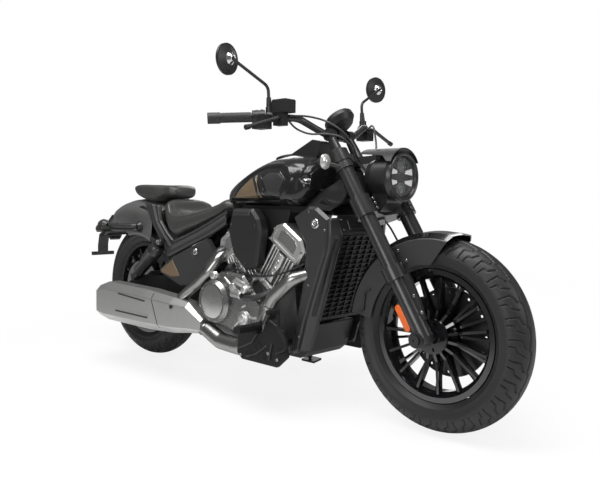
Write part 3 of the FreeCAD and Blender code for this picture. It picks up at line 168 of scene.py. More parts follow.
TREAD_ROUND = 1120
CROWN_ARC = 0.066
PAST_TREAD = 0.2
SIPES_FROM, SIPES_TO, SIPE_DEPTH, SIPE_PITCH = 0.083, 0.15, 0.0012, 0.006
TYRE_BEAD = [(0.0125, 0.2385), (0.0125, 0.2355), (0.01, 0.2345), (0.008, 0.2285), (0.0045, 0.2275),
    (0.002, 0.222), (-0.006, 0.2185)]
GROOVE_DEPTH = 0.005
GROOVE_HALF = 0.0017
PITCHES = 28
LONG_GROOVE = [(0.0, 0.083), (-0.004, 0.046), (-0.027, 0.037), (-0.031, 0.032)]
SHORT_GROOVE = [(-0.023, 0.084), (-0.028, 0.063), (-0.043, 0.061), (-0.056, 0.037)]
WAVE = [(0.0, 0.016), (-0.034, 0.022), (-0.042, 0.015), (-0.072, 0.016)]
SHOULDER = 80


def off_run(x, y, start, end):
    """How far places lie from a straight run."""
    (ax, ay), (bx, by) = start, end
    dx, dy = bx - ax, by - ay
    share = np.clip(((x - ax) * dx + (y - ay) * dy) / (dx * dx + dy * dy), 0, 1)
    return np.hypot(x - ax - share * dx, y - ay - share * dy)


def groove_depth(along, across, pitch):
    """How deep the tread is cut, from 0 to 1, at places along and across the crown."""
    near = np.full(along.shape, 1.0)
    for side in (1, -1):
        y = across * side
        x = (along + (pitch / 2 if side < 0 else 0.0)) % pitch
        for turn in (-pitch, 0.0, pitch, 2 * pitch):
            for route in (LONG_GROOVE, SHORT_GROOVE, WAVE):
                for start, end in zip(route, route[1:]):
                    near = np.minimum(near, off_run(x - turn, y, start, end))
    return np.clip((GROOVE_HALF + 0.0008 - near) / 0.0012, 0, 1)


def tyre(name, axle, radius, width, rim_width, node, body):
    """A tyre turned about its axle: crown, sidewall and bead, with the tread cut into the crown."""
    crown = width / 2 + 0.001
    centre = radius - crown
    angles = np.concatenate([np.arange(1, 14) * 2.0, np.linspace(28, SHOULDER, 20)])
    profile = [(0.0, radius, 0.0)]
    for angle in angles:
        a = math.radians(angle)
        profile.append((crown * math.sin(a), centre + crown * math.cos(a), a * CROWN_ARC))
    edge_y, edge_r, _ = profile[-1]
    sidewall = [(0.0012, edge_r - 0.0022), (0.002, edge_r - 0.008), (0.0045, 0.5 * edge_r + 0.5 * 0.236
        + 0.002)]
    profile += [(edge_y - inset, r, PAST_TREAD) for inset, r in sidewall]
    profile += [(rim_width / 2 + beyond, r, PAST_TREAD) for beyond, r in TYRE_BEAD]
    profile = [(-y, r, -s) for y, r, s in reversed(profile[1:])] + profile
    y, r, run = np.array(profile).T
    pitch = 2 * math.pi * radius / PITCHES
    turn = np.linspace(0, 2 * math.pi, TREAD_ROUND, endpoint=False)
    along, across = np.meshgrid(turn * radius, run, indexing="ij")
    deep = groove_depth(along, across, pitch) * GROOVE_DEPTH
    sipes = (np.abs(run) > SIPES_FROM) & (np.abs(run) < SIPES_TO)
    deep += np.where(sipes, SIPE_DEPTH * (np.sin(along / SIPE_PITCH * 2 * math.pi) > 0.2), 0)
    slope = np.clip(np.abs(run) / CROWN_ARC, 0, 1.4)
    reach = r[None, :] - deep * np.cos(slope)
    spread = np.broadcast_to(y, reach.shape) - np.sign(run) * deep * np.sin(slope)
    x = axle.x + reach * np.cos(turn)[:, None]
    z = axle.z + reach * np.sin(turn)[:, None]
    points = np.stack([x, spread, z], -1).reshape(-1, 3)
    n = len(y)
    faces = []
    for i in range(TREAD_ROUND):
        a, b = i * n, ((i + 1) % TREAD_ROUND) * n
        faces += [(a + k, a + k + 1, b + k + 1, b + k) for k in range(n - 1)]
    piece = mesh_piece(name, points, faces, tyre_rubber)
    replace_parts(piece, node)
    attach(piece, body)


rear_axle_up = Vector((0, 0, REAR_AXLE_HEIGHT))
tyre("front_tyre_tread", FRONT_AXLE, 0.32, 0.13, 0.088, "front_tyre", "front_wheel")
tyre("rear_tyre_tread", rear_axle_up, 0.323, 0.15, 0.11, "rear_tyre", "rear_wheel")


# Wheels and discs. The rims are cast and lacquered black. The rear disc and axle are bare ground
# steel and the front ones darker; a ring of screws holds each disc to its hub.

def paint(nodes, finish):
    """CAD nodes keep their shape and take this finish."""
    for node in nodes.split():
        for place in frame["nodes"][node].material_slots:
            place.material = finish


rim_lacquer = grained("rim_lacquer", (0.006, 0.006, 0.007), (0.01, 0.01, 0.011), 0.1, 0.04, 400, 0.000004,
    Coat_Weight=0.8)
ground_steel = grained("ground_steel", 0.36, (0.46, 0.46, 0.45), 0.3, 0.1, 500, 0.00002, Metallic=1.0)
paint("front_rim rear_rim", rim_lacquer)
disc_dark = grained("disc_dark", 0.05, 0.075, 0.32, 0.1, 500, 0.00001, Metallic=0.9)
paint("rear_disc rear_axle", ground_steel)
paint("front_disc front_axle", disc_dark)


def gather(shapes):
    """Several shapes, each points and faces, as one."""
    points, faces = [], []
    for some, rings in shapes:
        base = len(points)
        points += [Vector(p) for p in some]
        faces += [tuple(base + k for k in ring) for ring in rings]
    return points, faces


def across(axis):
    """Two directions square to an axis and to each other."""
    axis = Vector(axis).normalized()
    first = axis.orthogonal().normalized()
    if abs(axis.z) < 0.9:
        first = (Vector((0, 0, 1)) - axis * axis.z).normalized()
    return axis, first, axis.cross(first)


def ring_faces(rings, count):
    """Faces of a closed shape made of rings of points: its walls, then a lid at each end."""
    faces = []
    for a in range(0, (rings - 1) * count, count):
        b = a + count
        faces += [(a + k, a + (k + 1) % count, b + (k + 1) % count, b + k) for k in range(count)]
    return faces + [tuple(reversed(range(count))), tuple(range((rings - 1) * count, rings * count))]


def outward(points, faces):
    """A closed shape with its faces turned outward, each still starting at its own first point."""
    points = [Vector(p) for p in points]
    middle = sum(points, Vector((0, 0, 0))) / len(points)
    volume = 0.0
    for face in faces:
        first = points[face[0]] - middle
        for b, c in zip(face[1:], face[2:]):
            volume += first.dot((points[b] - middle).cross(points[c] - middle))
    return points, faces if volume > 0 else [face[:1] + face[:0:-1] for face in faces]


def turned(start, axis, profile, count=40):
    """A turned shape: profile of (distance along the axis, radius) from its start.

    Its two lids face inward, which leans the smooth shading of its end rings away from them.
    """
    axis, u, v = across(axis)
    start = Vector(start)
    points = []
    for along, radius in profile:
        for k in range(count):
            a = 2 * math.pi * k / count
            points.append(start + axis * along + (u * math.cos(a) + v * math.sin(a)) * radius)
    faces = ring_faces(len(profile), count)
    return points, faces[:-2] + [lid[::-1] for lid in faces[-2:]]


def socket_screw(at, axis, radius, tall=0.004):
    """The head of a socket screw or, when low, of a button screw."""
    bore = radius * 0.5
    return turned(at, axis, [(-0.001, radius), (tall - 0.0008, radius), (tall, radius - 0.0008),
        (tall, bore), (tall - 0.002, bore * 0.9)], 20)


screw_steel = grained("screw_steel", 0.3, 0.4, 0.28, 0.1, 600, 0.00001, Metallic=1.0)
screw_black = grained("screw_black", 0.014, 0.024, 0.34, 0.1, 600, 0.00001)


def fitted(name, shapes, finish, body="chassis", smooth=False):
    """A piece made of these shapes that rides on this body."""
    piece = mesh_piece(name, *gather(shapes), finish, smooth)
    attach(piece, body)
    return piece


def wheel_bolts(name, axle, y, radius, count, body, finish):
    """A ring of socket screws round an axle, on the face at this y."""
    side = 1 if y > 0 else -1
    shapes = []
    for k in range(count):
        a = 2 * math.pi * (k + 0.5) / count
        at = (axle.x + radius * math.cos(a), y, axle.z + radius * math.sin(a))
        shapes.append(socket_screw(at, (0, side, 0), 0.007))
    fitted(name, shapes, finish, body)


wheel_bolts("front_disc_bolts", FRONT_AXLE, 0.061, 0.047, 6, "front_wheel", screw_black)
wheel_bolts("rear_disc_bolts", rear_axle_up, -0.075, 0.047, 6, "rear_wheel", screw_black)

# Fork. Black anodised legs in two clamps, with a web and caliper mount down the front of each
# lower leg, screws through the web and the lower clamp, and an orange reflector on the outside.

fork_black = grained("fork_black", 0.013, 0.018, 0.3, 0.06, 700, 0.00001)
paint("steering_clamps fork_uppers fork_lowers front_caliper handlebar", fork_black)
reflector_orange = grained("reflector_orange", (0.62, 0.105, 0.012), (0.7, 0.13, 0.016), 0.42, 0.08, 900,
    0.00006)
RAKE = math.radians(32.0)
FORK_FOOT = Vector((1.6119, 0, 0.3274))
fork_up = Vector((-math.sin(RAKE), 0, math.cos(RAKE)))
fork_fore = Vector((math.cos(RAKE), 0, math.sin(RAKE)))


def on_fork(x, y, z):
    """From fork coordinates: x forward of the legs' line, z up it from the axle's level."""
    return FORK_FOOT + fork_fore * x + Vector((0, y, 0)) + fork_up * z


def stadium(half_long, half_wide, count=10):
    """A bar with round ends, as points in its own plane."""
    points = []
    for end, start in ((1, -90), (-1, 90)):
        for k in range(count + 1):
            a = math.radians(start + 180 * k / count)
            points.append((end * (half_long - half_wide) + half_wide * math.cos(a), half_wide * math.sin(a)))
    return points


def box(half_long, half_wide):
    """A rectangle, as points in its own plane."""
    return [(-half_long, -half_wide), (half_long, -half_wide), (half_long, half_wide),
        (-half_long, half_wide)]


def slab(centre, along, out, outline, low, high, soft=0.0008):
    """A flat piece with softened edges, its outline square to out and its length along."""
    out = Vector(out).normalized()
    along = Vector(along)
    along = (along - out * along.dot(out)).normalized()
    beside = out.cross(along)
    count = len(outline)
    cx = sum(p[0] for p in outline) / count
    cy = sum(p[1] for p in outline) / count
    rings = [(low, 0.0), (high - soft, 0.0), (high - soft * 0.3, soft * 0.3), (high, soft)]
    points = []
    for level, inset in rings:
        for x, y in outline:
            share = 1 - inset / (math.hypot(x - cx, y - cy) or 1.0)
            points.append(Vector(centre) + along * (cx + (x - cx) * share) + beside * (cy + (y - cy) * share)
                + out * level)
    return outward(points, ring_faces(len(rings), count))


SIDES = {1: "left", -1: "right"}
fork_screws, pads = [], []
for s, word in SIDES.items():
    side = (0, s, 0)
    centre = Vector((1.5395, s * 0.1235, 0.38))
    fitted(word + "_reflector", [slab(centre, fork_up, side, stadium(0.047, 0.0115), -0.001, 0.009, 0.002)],
        reflector_orange, "steering", True)
    pads.append(slab(centre, fork_up, side, stadium(0.049, 0.0135), -0.014, 0.0, 0.0005))
    for z in (0.07, 0.128):
        fork_screws.append(socket_screw(on_fork(0.036, s * 0.121, z), side, 0.0055))
    for z in (0.452, 0.47, 0.488):
        fork_screws.append(socket_screw(on_fork(0.041, s * 0.1, z), fork_fore, 0.0055, 0.003))
    fork_screws.append(turned(on_fork(-0.014, s * 0.1465, 0), side, [(0, 0.0155), (0.0035, 0.015),
        (0.004, 0.0115), (0.001, 0.0105), (0.001, 0.007)]))
fitted("reflector_pads", pads, screw_black, "steering")
fitted("fork_screws", fork_screws, screw_steel, "steering")

# Handlebar, its controls and mirrors. A black tube with ribbed rubber grips; switch housings,
# levers and the reservoir are moulded or cast black. The mirrors have a bright cap on the back.

rubber = grained("grip_rubber", 0.012, 0.017, 0.55, 0.1, 900, 0.00004)
moulded = grained("moulded_black", 0.009, 0.013, 0.44, 0.08, 900, 0.00001, Specular_IOR_Level=0.42)
cable_black = grained("cable_black", 0.012, 0.02, 0.4, 0.08, 900, 0.00005)
paint("grips drive_belt", rubber)
paint("bar_controls gauge visor mirrors", moulded)
paint("control_cables engine_cable coolant_hose", cable_black)

BAR_END = Vector((0.929, 0.419, 1.03))
BAR_TURN = Vector((1.055, 0.262, 1.041))
ribs, end_caps, switches = [], [], []
for s in (1, -1):
    end = Vector((BAR_END.x, s * BAR_END.y, BAR_END.z))
    inward = (Vector((BAR_TURN.x, s * BAR_TURN.y, BAR_TURN.z)) - end).normalized()
    for k in range(26):
        ribs.append(turned(end + inward * (0.034 + k * 0.0038), inward, [(0, 0.0168), (0.0005, 0.0178),
            (0.0019, 0.0178), (0.0024, 0.0168)], 28))
    end_caps.append(turned(end - inward * 0.0135, -inward, [(0, 0.0185), (0.0015, 0.017), (0.0015, 0.0065),
        (-0.002, 0.006)], 32))
    pod = end + inward * 0.165
    for dx, dz, r in ((-0.012, 0.026, 0.006), (0.012, 0.026, 0.005)):
        switches.append(turned(pod + Vector((dx, 0, dz - 0.006)), (0, 0, 1), [(0, r), (0.004, r),
            (0.005, r * 0.8)], 20))
    switches.append(turned(pod + Vector((-0.014, 0, -0.016)), (-1, 0, 0), [(0, 0.008), (0.007, 0.0075),
        (0.008, 0.006)], 24))
fitted("grip_ribs", ribs, rubber, "steering", True)
fitted("bar_end_rings", end_caps, screw_steel, "steering", True)
fitted("switch_buttons", switches, screw_black, "steering", True)
RESERVOIR = Vector((1.1016, -0.242, 1.0946))
lid = [slab(RESERVOIR, (1, 0, 0), (0, 0, 1), box(0.032, 0.025), -0.001, 0.0035, 0.001)]
for corner in ((-0.026, -0.019, 0.0032), (0.026, 0.019, 0.0032)):
    lid.append(socket_screw(RESERVOIR + Vector(corner), (0, 0, 1), 0.003, 0.0015))
fitted("reservoir_lid", lid, screw_black, "steering")

mirror_silver = grained("mirror_silver", 0.55, 0.62, 0.16, 0.05, 300, 0.00001, Metallic=1.0)
mirror_glass = grained("mirror_glass", (0.8, 0.8, 0.81), (0.82, 0.82, 0.83), 0.03, 0.02, 200, 0.000002,
    Metallic=1.0)
caps, glasses = [], []
for s in (1, -1):
    facing = Vector((0.988, -0.154 * s, 0)).normalized()
    head = Vector((1.0006, s * 0.413, 1.2226))
    caps.append(turned(head + facing * 0.0145, facing, [(0, 0.0215), (0.0025, 0.021), (0.006, 0.0165),
        (0.0115, 0.0125), (0.0125, 0.009)], 48))
    glasses.append(turned(head - facing * 0.0045, -facing, [(0, 0.0495), (0.0008, 0.049), (0.0012, 0.03),
        (0.0012, 0.001)], 48))
fitted("mirror_caps", caps, mirror_silver, "steering", True)
fitted("mirror_glasses", glasses, mirror_glass, "steering", True)

dial_face = grained("dial_face", (0.01, 0.011, 0.012), (0.014, 0.015, 0.017), 0.1, 0.04, 300, 0.000005)
dial_marks = grained("dial_marks", (0.55, 0.56, 0.56), (0.62, 0.63, 0.63), 0.4, 0.06, 900, 0.00001)
GAUGE_FACE = Vector((1.1466, 0, 1.0496))
gauge_out = Vector((-0.64, 0, 0.768)).normalized()
fitted("dial_glass", [turned(GAUGE_FACE, gauge_out, [(-0.002, 0.0525), (0.0012, 0.0525), (0.002, 0.05),
    (0.0026, 0.03), (0.0028, 0.001)], 56)], dial_face, "steering", True)
fitted("dial_bezel", [turned(GAUGE_FACE, gauge_out, [(-0.004, 0.0565), (0.0028, 0.056), (0.0036, 0.0545),
    (0.0028, 0.053), (0.0, 0.0525)], 56)], screw_steel, "steering", True)
ticks = []
_, tick_u, tick_v = across(gauge_out)
for k in range(25):
    a = math.radians(-30 + 240 * k / 24)
    ray = tick_u * math.sin(a) - tick_v * math.cos(a)
    long = 0.006 if k % 4 == 0 else 0.003
    outline = box(long, 0.0006)
    ticks.append(slab(GAUGE_FACE + gauge_out * 0.002 + ray * 0.043, ray, gauge_out, outline, 0.0, 0.0012,
        0.0001))
fitted("dial_ticks", ticks, dial_marks, "steering")

# Headlight. A black bucket with a thick bezel; behind the glass a dark cross carries two round
# projector lenses and four bright reflector wedges, which also give off a faint painted glow.

lamp_black = grained("lamp_black", 0.012, 0.018, 0.3, 0.08, 700, 0.00003)
# The reflectors' silver is their own colour; the faint white emission on them is painted light, a glow
# standing in for their reflections.
reflector_glow = grained("lamp_reflector_painted_glow", (0.85, 0.85, 0.86), (0.92, 0.92, 0.93), 0.2, 0.08, 200, 0.00001,
    Metallic=0.4, Emission_Color=(1, 1, 1, 1), Emission_Strength=0.35)
lamp_glass = grained("lamp_glass", 0.16, 0.2, 0.05, 0.02, 300, 0.000002, Alpha=0.16)
projector = grained("projector_lens", (0.1, 0.11, 0.12), (0.14, 0.15, 0.16), 0.06, 0.03, 200, 0.000005,
    Coat_Weight=1.0)
paint("headlight", lamp_black)
LAMP = Vector((1.439, 0, 0.8351))
forward = (1, 0, 0)
glass = fitted("headlight_glass", [turned(LAMP, forward, [(-0.004, 0.0705), (-0.002, 0.0705), (0.0, 0.06),
    (0.0012, 0.04), (0.0018, 0.02), (0.002, 0.001)], 64)], lamp_glass, "steering", True)
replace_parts(glass, "headlight_lens")
backing = fitted("headlight_backing", [turned(LAMP, forward, [(-0.0137, 0.07), (-0.0085, 0.0695),
    (-0.012, 0.06), (-0.0125, 0.001)], 64)], lamp_black, "steering")
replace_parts(backing, "headlight_lens")
wedges, eyes, rims = [], [], []
for sy in (1, -1):
    for sz in (1, -1):
        outline = [(0.026 * sy, 0.012 * sz), (0.064 * sy, 0.008 * sz), (0.0605 * sy, 0.0305 * sz),
            (0.026 * sy, 0.0215 * sz)]
        wedges.append(slab(LAMP + Vector((-0.012, 0, 0)), (0, 1, 0), forward, outline, 0.0, 0.0055, 0.0015))
for sz in (1, -1):
    centre = LAMP + Vector((-0.012, 0, 0.041 * sz))
    eyes.append(turned(centre, forward, [(0, 0.0185), (0.003, 0.018), (0.006, 0.012), (0.0072, 0.006),
        (0.0075, 0.0005)], 40))
    rims.append(turned(centre, forward, [(0, 0.0225), (0.004, 0.022), (0.0046, 0.0205), (0.003, 0.019),
        (0, 0.0188)], 40))
fitted("headlight_wedges", wedges, reflector_glow, "steering")
fitted("projector_lenses", eyes, projector, "steering", True)
fitted("projector_rings", rims, projector, "steering", True)
fitted("headlight_bezel", [turned(LAMP, forward, [(-0.02, 0.0835), (0.001, 0.084), (0.0065, 0.0815),
    (0.007, 0.078), (0.004, 0.0725), (-0.0035, 0.0702), (-0.0142, 0.07)], 72)], lamp_black, "steering", True)

# Front indicator lamps. A pale moulded lens over a bright reflector with a faint painted glow, in a
# round black shell at the end of a stalk that is bolted to the lower clamp.

paint("front_indicators", screw_black)
cups, lenses, shells = [], [], []
for s in (1, -1):
    at = Vector((1.246, s * 0.185, 0.884))
    cups.append(turned(at, forward, [(-0.002, 0.0225), (0.0012, 0.0225), (0.0014, 0.019), (0.0008, 0.012),
        (0.0016, 0.006), (0.0034, 0.0005)], 40))
    lenses.append(turned(at, forward, [(0.001, 0.0262), (0.004, 0.0256), (0.008, 0.0195), (0.0105, 0.01),
        (0.0112, 0.0005)], 40))
    shells.append(turned(at, forward, [(-0.012, 0.02), (-0.006, 0.0248), (0.003, 0.0254), (0.0036, 0.0244)],
        40))
fitted("indicator_reflectors", cups, reflector_glow, "steering", True)
lamp_pale = grained("lamp_pale", (0.46, 0.46, 0.45), (0.62, 0.62, 0.61), 0.16, 0.1, 160, 0.0003, Metallic=0.5)
fitted("indicator_lenses", lenses, lamp_pale, "steering", True)
fitted("indicator_shells", shells, screw_black, "steering", True)

# Fuel tank. Pressed steel under gloss black lacquer. A sunk panel in each side carries a bronze
# wedge with two black stripes and a bare hexagonal plate; a slot and two cuts lie ahead of it.

TANK_ROWS = np.array([(0.597, 0.006, 0.75, 0.764, 2.2), (0.6, 0.024, 0.744, 0.772, 2.2),
    (0.614, 0.052, 0.736, 0.784, 2.2), (0.65, 0.094, 0.728, 0.808, 2.2), (0.7, 0.13, 0.722, 0.832, 2.2),
    (0.76, 0.151, 0.722, 0.862, 2.2), (0.84, 0.165, 0.722, 0.896, 2.3), (0.93, 0.169, 0.722, 0.919, 2.4),
    (1.02, 0.166, 0.718, 0.924, 2.6), (1.09, 0.156, 0.726, 0.91, 2.6), (1.136, 0.132, 0.77, 0.886, 2.4),
    (1.15, 0.096, 0.8, 0.858, 2.2), (1.152, 0.04, 0.815, 0.84, 2.2)])
PANEL = [(0.704, 0.739), (0.727, 0.771), (0.772, 0.808), (0.816, 0.837), (0.859, 0.858), (0.917, 0.874),
    (0.999, 0.875), (1.03, 0.863), (1.054, 0.833), (0.993, 0.747), (0.928, 0.746), (0.817, 0.742)]
SLOT = [(1.096, 0.827), (1.108, 0.838), (1.15, 0.838), (1.15, 0.812), (1.125, 0.812), (1.108, 0.818)]
CUTS = [[(1.034, 0.746), (1.046, 0.732), (1.06, 0.726)], [(1.07, 0.752), (1.084, 0.742), (1.09, 0.726)]]


def smooth_rows(rows, places):
    """Rows read off along their first column, with smooth tangents."""
    x, values = rows[:, 0], rows[:, 1:]
    slopes = np.gradient(values, x, axis=0)
    i = np.clip(np.searchsorted(x, places) - 1, 0, len(x) - 2)
    width = (x[i + 1] - x[i])[:, None]
    t = ((places - x[i]) / (x[i + 1] - x[i]))[:, None]
    a, b, ma, mb = values[i], values[i + 1], slopes[i] * width, slopes[i + 1] * width
    return (2 * t**3 - 3 * t**2 + 1) * a + (t**3 - 2 * t**2
        + t) * ma + (3 * t**2 - 2 * t**3) * b + (t**3 - t**2) * mb


def hull_grid(rows, places, waist, count):
    """Points of closed rounded sections, section by section, from the sizes in the rows."""
    half, low, high, power = (smooth_rows(rows, places)[:, k][:, None] for k in range(4))
    a = np.linspace(0, 2 * math.pi, count, endpoint=False)[None, :]
    c, s = np.cos(a), np.sin(a)
    y = half * np.sign(c) * np.abs(c) ** (2 / power)
    widest = low + (high - low) * waist
    z = widest + np.where(s > 0, high - widest, widest - low) * np.sign(s) * np.abs(s) ** (2 / power)
    return np.stack([np.broadcast_to(places[:, None], y.shape), y, z], -1)


def off_route(points, route):
    """How far each (x, z) lies from a route of straight runs."""
    runs = zip(route, route[1:])
    return np.min([off_run(points[..., 0], points[..., 2], start, end) for start, end in runs], axis=0)


def inside_by(points, outline):
    """How far each (x, z) lies inside an outline, negative outside it."""
    x, z = points[..., 0], points[..., 2]
    odd = np.zeros(x.shape, bool)
    for (ax, az), (bx, bz) in zip(outline, outline[1:] + outline[:1]):
        crosses = (az > z) != (bz > z)
        rise = bz - az if abs(bz - az) > 1e-9 else 1e-9
        odd ^= crosses & (x < ax + (z - az) / rise * (bx - ax))
    near = off_route(points, outline + outline[:1])
    return np.where(odd, near, -near)


def step(value, width):
    """From 0 to 1 with soft ends as a value goes from minus to plus half the width."""
    t = np.clip(value / width + 0.5, 0, 1)
    return t * t * (3 - 2 * t)


tank_paint = grained("tank_paint", (0.009, 0.009, 0.0095), (0.011, 0.011, 0.0115), 0.24, 0.03, 300, 0.000003,
    Coat_Weight=0.3, Coat_Roughness=0.08, Specular_IOR_Level=0.3)
places = np.concatenate([np.linspace(0.597, 0.64, 16), np.linspace(0.643, 1.12, 160),
    np.linspace(1.123, 1.152, 16)])
shape = hull_grid(TANK_ROWS, places, 0.36, 220)
on_side = step(np.abs(shape[..., 1]) - 0.062, 0.02)
PRESSED, LIP, CREASE, SPAR_TOP = 0.006, 0.0032, 0.0015, 0.7546
inside = inside_by(shape, PANEL)
sunk = step(inside, 0.006) * PRESSED - np.exp(-((inside + 0.009) / 0.006) ** 2) * LIP
sunk += step(inside_by(shape, SLOT), 0.005) * PRESSED
for cut in CUTS:
    sunk += step(0.0034 - off_route(shape, cut), 0.002) * PRESSED
crease = shape[..., 2] - (0.886 - (shape[..., 0] - 1.03) * 0.24)
sunk += step(shape[..., 0] - 1.045, 0.04) * np.exp(-(crease / 0.006) ** 2) * CREASE
centre = np.stack([shape[..., 0], shape[..., 1] * 0, np.full(shape.shape[:2], 0.8)], -1)
inward = (centre - shape) / np.linalg.norm(centre - shape, axis=-1, keepdims=True)
shape = shape + inward * (sunk * on_side)[..., None]
over_spars = (np.abs(shape[..., 1]) < 0.082) & (shape[..., 2] < SPAR_TOP)
shape[..., 2] = np.where(over_spars, SPAR_TOP, shape[..., 2])
tank = fitted("tank_shell", [(shape.reshape(-1, 3), ring_faces(len(places), 220))], tank_paint, smooth=True)
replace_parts(tank, "fuel_tank")


def surface(piece):
    """The skin of a piece, in the upright machine, for laying other pieces on it."""
    points = [park.inverted() @ piece.matrix_world @ v.co for v in piece.data.vertices]
    return BVHTree.FromPolygons(points, [tuple(p.vertices) for p in piece.data.polygons])


def on_path(route, count):
    """Even steps along a route of points."""
    route = np.array(route, float)
    reach = np.concatenate([[0], np.cumsum(np.linalg.norm(np.diff(route, axis=0), axis=1))])
    want = np.linspace(0, reach[-1], count)
    return np.stack([np.interp(want, reach, column) for column in route.T], -1)


def plate_faces(long, tall):
    """Faces of a thin plate: its front grid, the same grid behind it, and the rim between them."""
    faces, half = [], long * tall
    for i in range(long - 1):
        for k in range(tall - 1):
            a = i * tall + k
            faces += [(a, a + tall, a + tall + 1, a + 1), (half + a, half + a + 1, half + a + tall + 1,
                half + a + tall)]
    rim = list(range(tall)) + [i * tall + tall - 1 for i in range(1, long)]
    rim += [(long - 1) * tall + k for k in range(tall - 2, -1, -1)]
    rim += [i * tall for i in range(long - 2, 0, -1)]
    return faces + [(a, b, half + b, half + a) for a, b in zip(rim, rim[1:] + rim[:1])]


def laid_on(skin, lower, upper, side, proud, long=40, tall=16):
    """A thin piece laid on a side face, between a lower and an upper edge seen from that side."""
    low, high = on_path(lower, long), on_path(upper, long)
    points = []
    for depth in (proud, -0.0015):
        for i in range(long):
            for k in range(tall):
                x, z = low[i] + (high[i] - low[i]) * k / (tall - 1)
                hit = skin.ray_cast(Vector((x, side * 0.6, z)), Vector((0, -side, 0)))[0]
                if hit is None:
                    hit = skin.find_nearest(Vector((x, side * 0.16, z)))[0]
                points.append(Vector((x, hit.y + side * depth, z)))
    return outward(points, plate_faces(long, tall))


bronze = grained("bronze_paint", (0.15, 0.104, 0.064), (0.185, 0.13, 0.08), 0.38, 0.06, 700, 0.00001,
    Metallic=0.35)
stripe_black = grained("stripe_black", 0.008, 0.012, 0.18, 0.04, 500, 0.00001, Coat_Weight=0.5)
plate_grey = grained("plate_grey", 0.022, 0.027, 0.36, 0.06, 800, 0.00001)
tank_skin = surface(tank)
WEDGE_LOW = [(0.738, 0.758), (0.782, 0.757), (0.834, 0.757), (0.905, 0.759)]
WEDGE_HIGH = [(0.738, 0.762), (0.772, 0.788), (0.816, 0.816), (0.846, 0.835), (0.872, 0.846)]
STRIPES = [
    ([(0.882, 0.761), (0.877, 0.791), (0.864, 0.815), (0.846, 0.835)],
        [(0.894, 0.761), (0.889, 0.795), (0.877, 0.821), (0.86, 0.842)]),
    ([(0.911, 0.761), (0.906, 0.797), (0.893, 0.828), (0.874, 0.848)],
        [(0.926, 0.762), (0.92, 0.799), (0.906, 0.834), (0.884, 0.852)])]
HEX_LOW = [(0.915, 0.829), (0.956, 0.769), (0.994, 0.769), (1.024, 0.822)]
HEX_HIGH = [(0.915, 0.833), (0.94, 0.851), (0.996, 0.85), (1.024, 0.826)]
EDGE_LOW = [(0.908, 0.829), (0.952, 0.763), (0.997, 0.763), (1.031, 0.822)]
EDGE_HIGH = [(0.908, 0.834), (0.937, 0.857), (0.999, 0.856), (1.031, 0.827)]
BAR_LOW, BAR_HIGH = [(1.104, 0.8225), (1.146, 0.8215)], [(1.108, 0.8285), (1.146, 0.8275)]
for s, word in SIDES.items():
    fitted("tank_wedge_" + word, [laid_on(tank_skin, WEDGE_LOW, WEDGE_HIGH, s, 0.0006, 90, 40)], bronze,
        smooth=True)
    fitted("tank_stripes_" + word, [laid_on(tank_skin, a, b, s, 0.001, 50, 6) for a, b in STRIPES],
        stripe_black, smooth=True)
    fitted("tank_plate_edge_" + word, [laid_on(tank_skin, EDGE_LOW, EDGE_HIGH, s, 0.0009, 60, 24)],
        stripe_black, smooth=True)
    fitted("tank_plate_" + word, [laid_on(tank_skin, HEX_LOW, HEX_HIGH, s, 0.003, 60, 24)], plate_grey,
        smooth=True)
    fitted("tank_slot_" + word, [laid_on(tank_skin, BAR_LOW, BAR_HIGH, s, 0.0012, 20, 5)], mirror_silver,
        smooth=True)

# Filler cap and display. The cap is a bright round disc that stands on the tank's crown, with its
# lid and lock inside it; the display is a dark glass in a satin wedge that faces the rider.

hit, crown, _, _ = tank_skin.ray_cast(Vector((0.89, 0, 1.2)), Vector((0, 0, -1)))
fitted("filler_ring", [turned(hit, -crown, [(-0.01, 0.047), (0.0012, 0.047), (0.0022, 0.0455),
    (0.0022, 0.0425), (0.0008, 0.041)], 64)], screw_steel, smooth=True)
fitted("filler_lid", [turned(hit, -crown, [(-0.008, 0.0408), (0.0018, 0.0408), (0.003, 0.0385),
    (0.0036, 0.02), (0.0036, 0.001)], 64)], lamp_black, smooth=True)
fitted("filler_lock", [turned(hit, -crown, [(0.003, 0.011), (0.005, 0.0105), (0.0055, 0.009),
    (0.0046, 0.005), (0.0046, 0.0005)], 32)], screw_steel, smooth=True)
paint("tank_display", moulded)
DISPLAY_LOW, DISPLAY_HIGH = Vector((0.955, 0, 0.93)), Vector((1.058, 0, 0.978))
slope = (DISPLAY_HIGH - DISPLAY_LOW).normalized()
fitted("display_glass", [slab((1.0065, 0, 0.9541), slope, Vector((-slope.z, 0, slope.x)), box(0.04, 0.0351),
    -0.001, 0.0014, 0.0006)], dial_face)

# Seats. Foam cushions under black leather-look vinyl: a dished rider's seat whose top and side
# panels meet at a sewn edge, and a round pillion pad on the fender, sewn round its rim.

vinyl = grained("seat_vinyl", (0.029, 0.0285, 0.0275), (0.036, 0.0355, 0.0345), 0.4, 0.1, 900, 0.0001)
thread = grained("seat_thread", (0.03, 0.029, 0.028), (0.045, 0.044, 0.042), 0.6, 0.1, 1500, 0.0001)
RIDER_ROWS = np.array([(0.216, 0.06, 0.69, 0.73, 2.2), (0.226, 0.098, 0.664, 0.745, 2.5),
    (0.25, 0.122, 0.634, 0.75, 3.0), (0.268, 0.132, 0.616, 0.742, 3.2), (0.286, 0.138, 0.602, 0.712, 3.4),
    (0.31, 0.144, 0.588, 0.696, 3.4), (0.33, 0.147, 0.58, 0.692, 3.4), (0.42, 0.151, 0.605, 0.692, 3.4),
    (0.52, 0.141, 0.637, 0.712, 3.2), (0.6, 0.124, 0.665, 0.742, 2.8), (0.655, 0.126, 0.686, 0.762, 2.4),
    (0.69, 0.11, 0.7, 0.752, 2.3)])
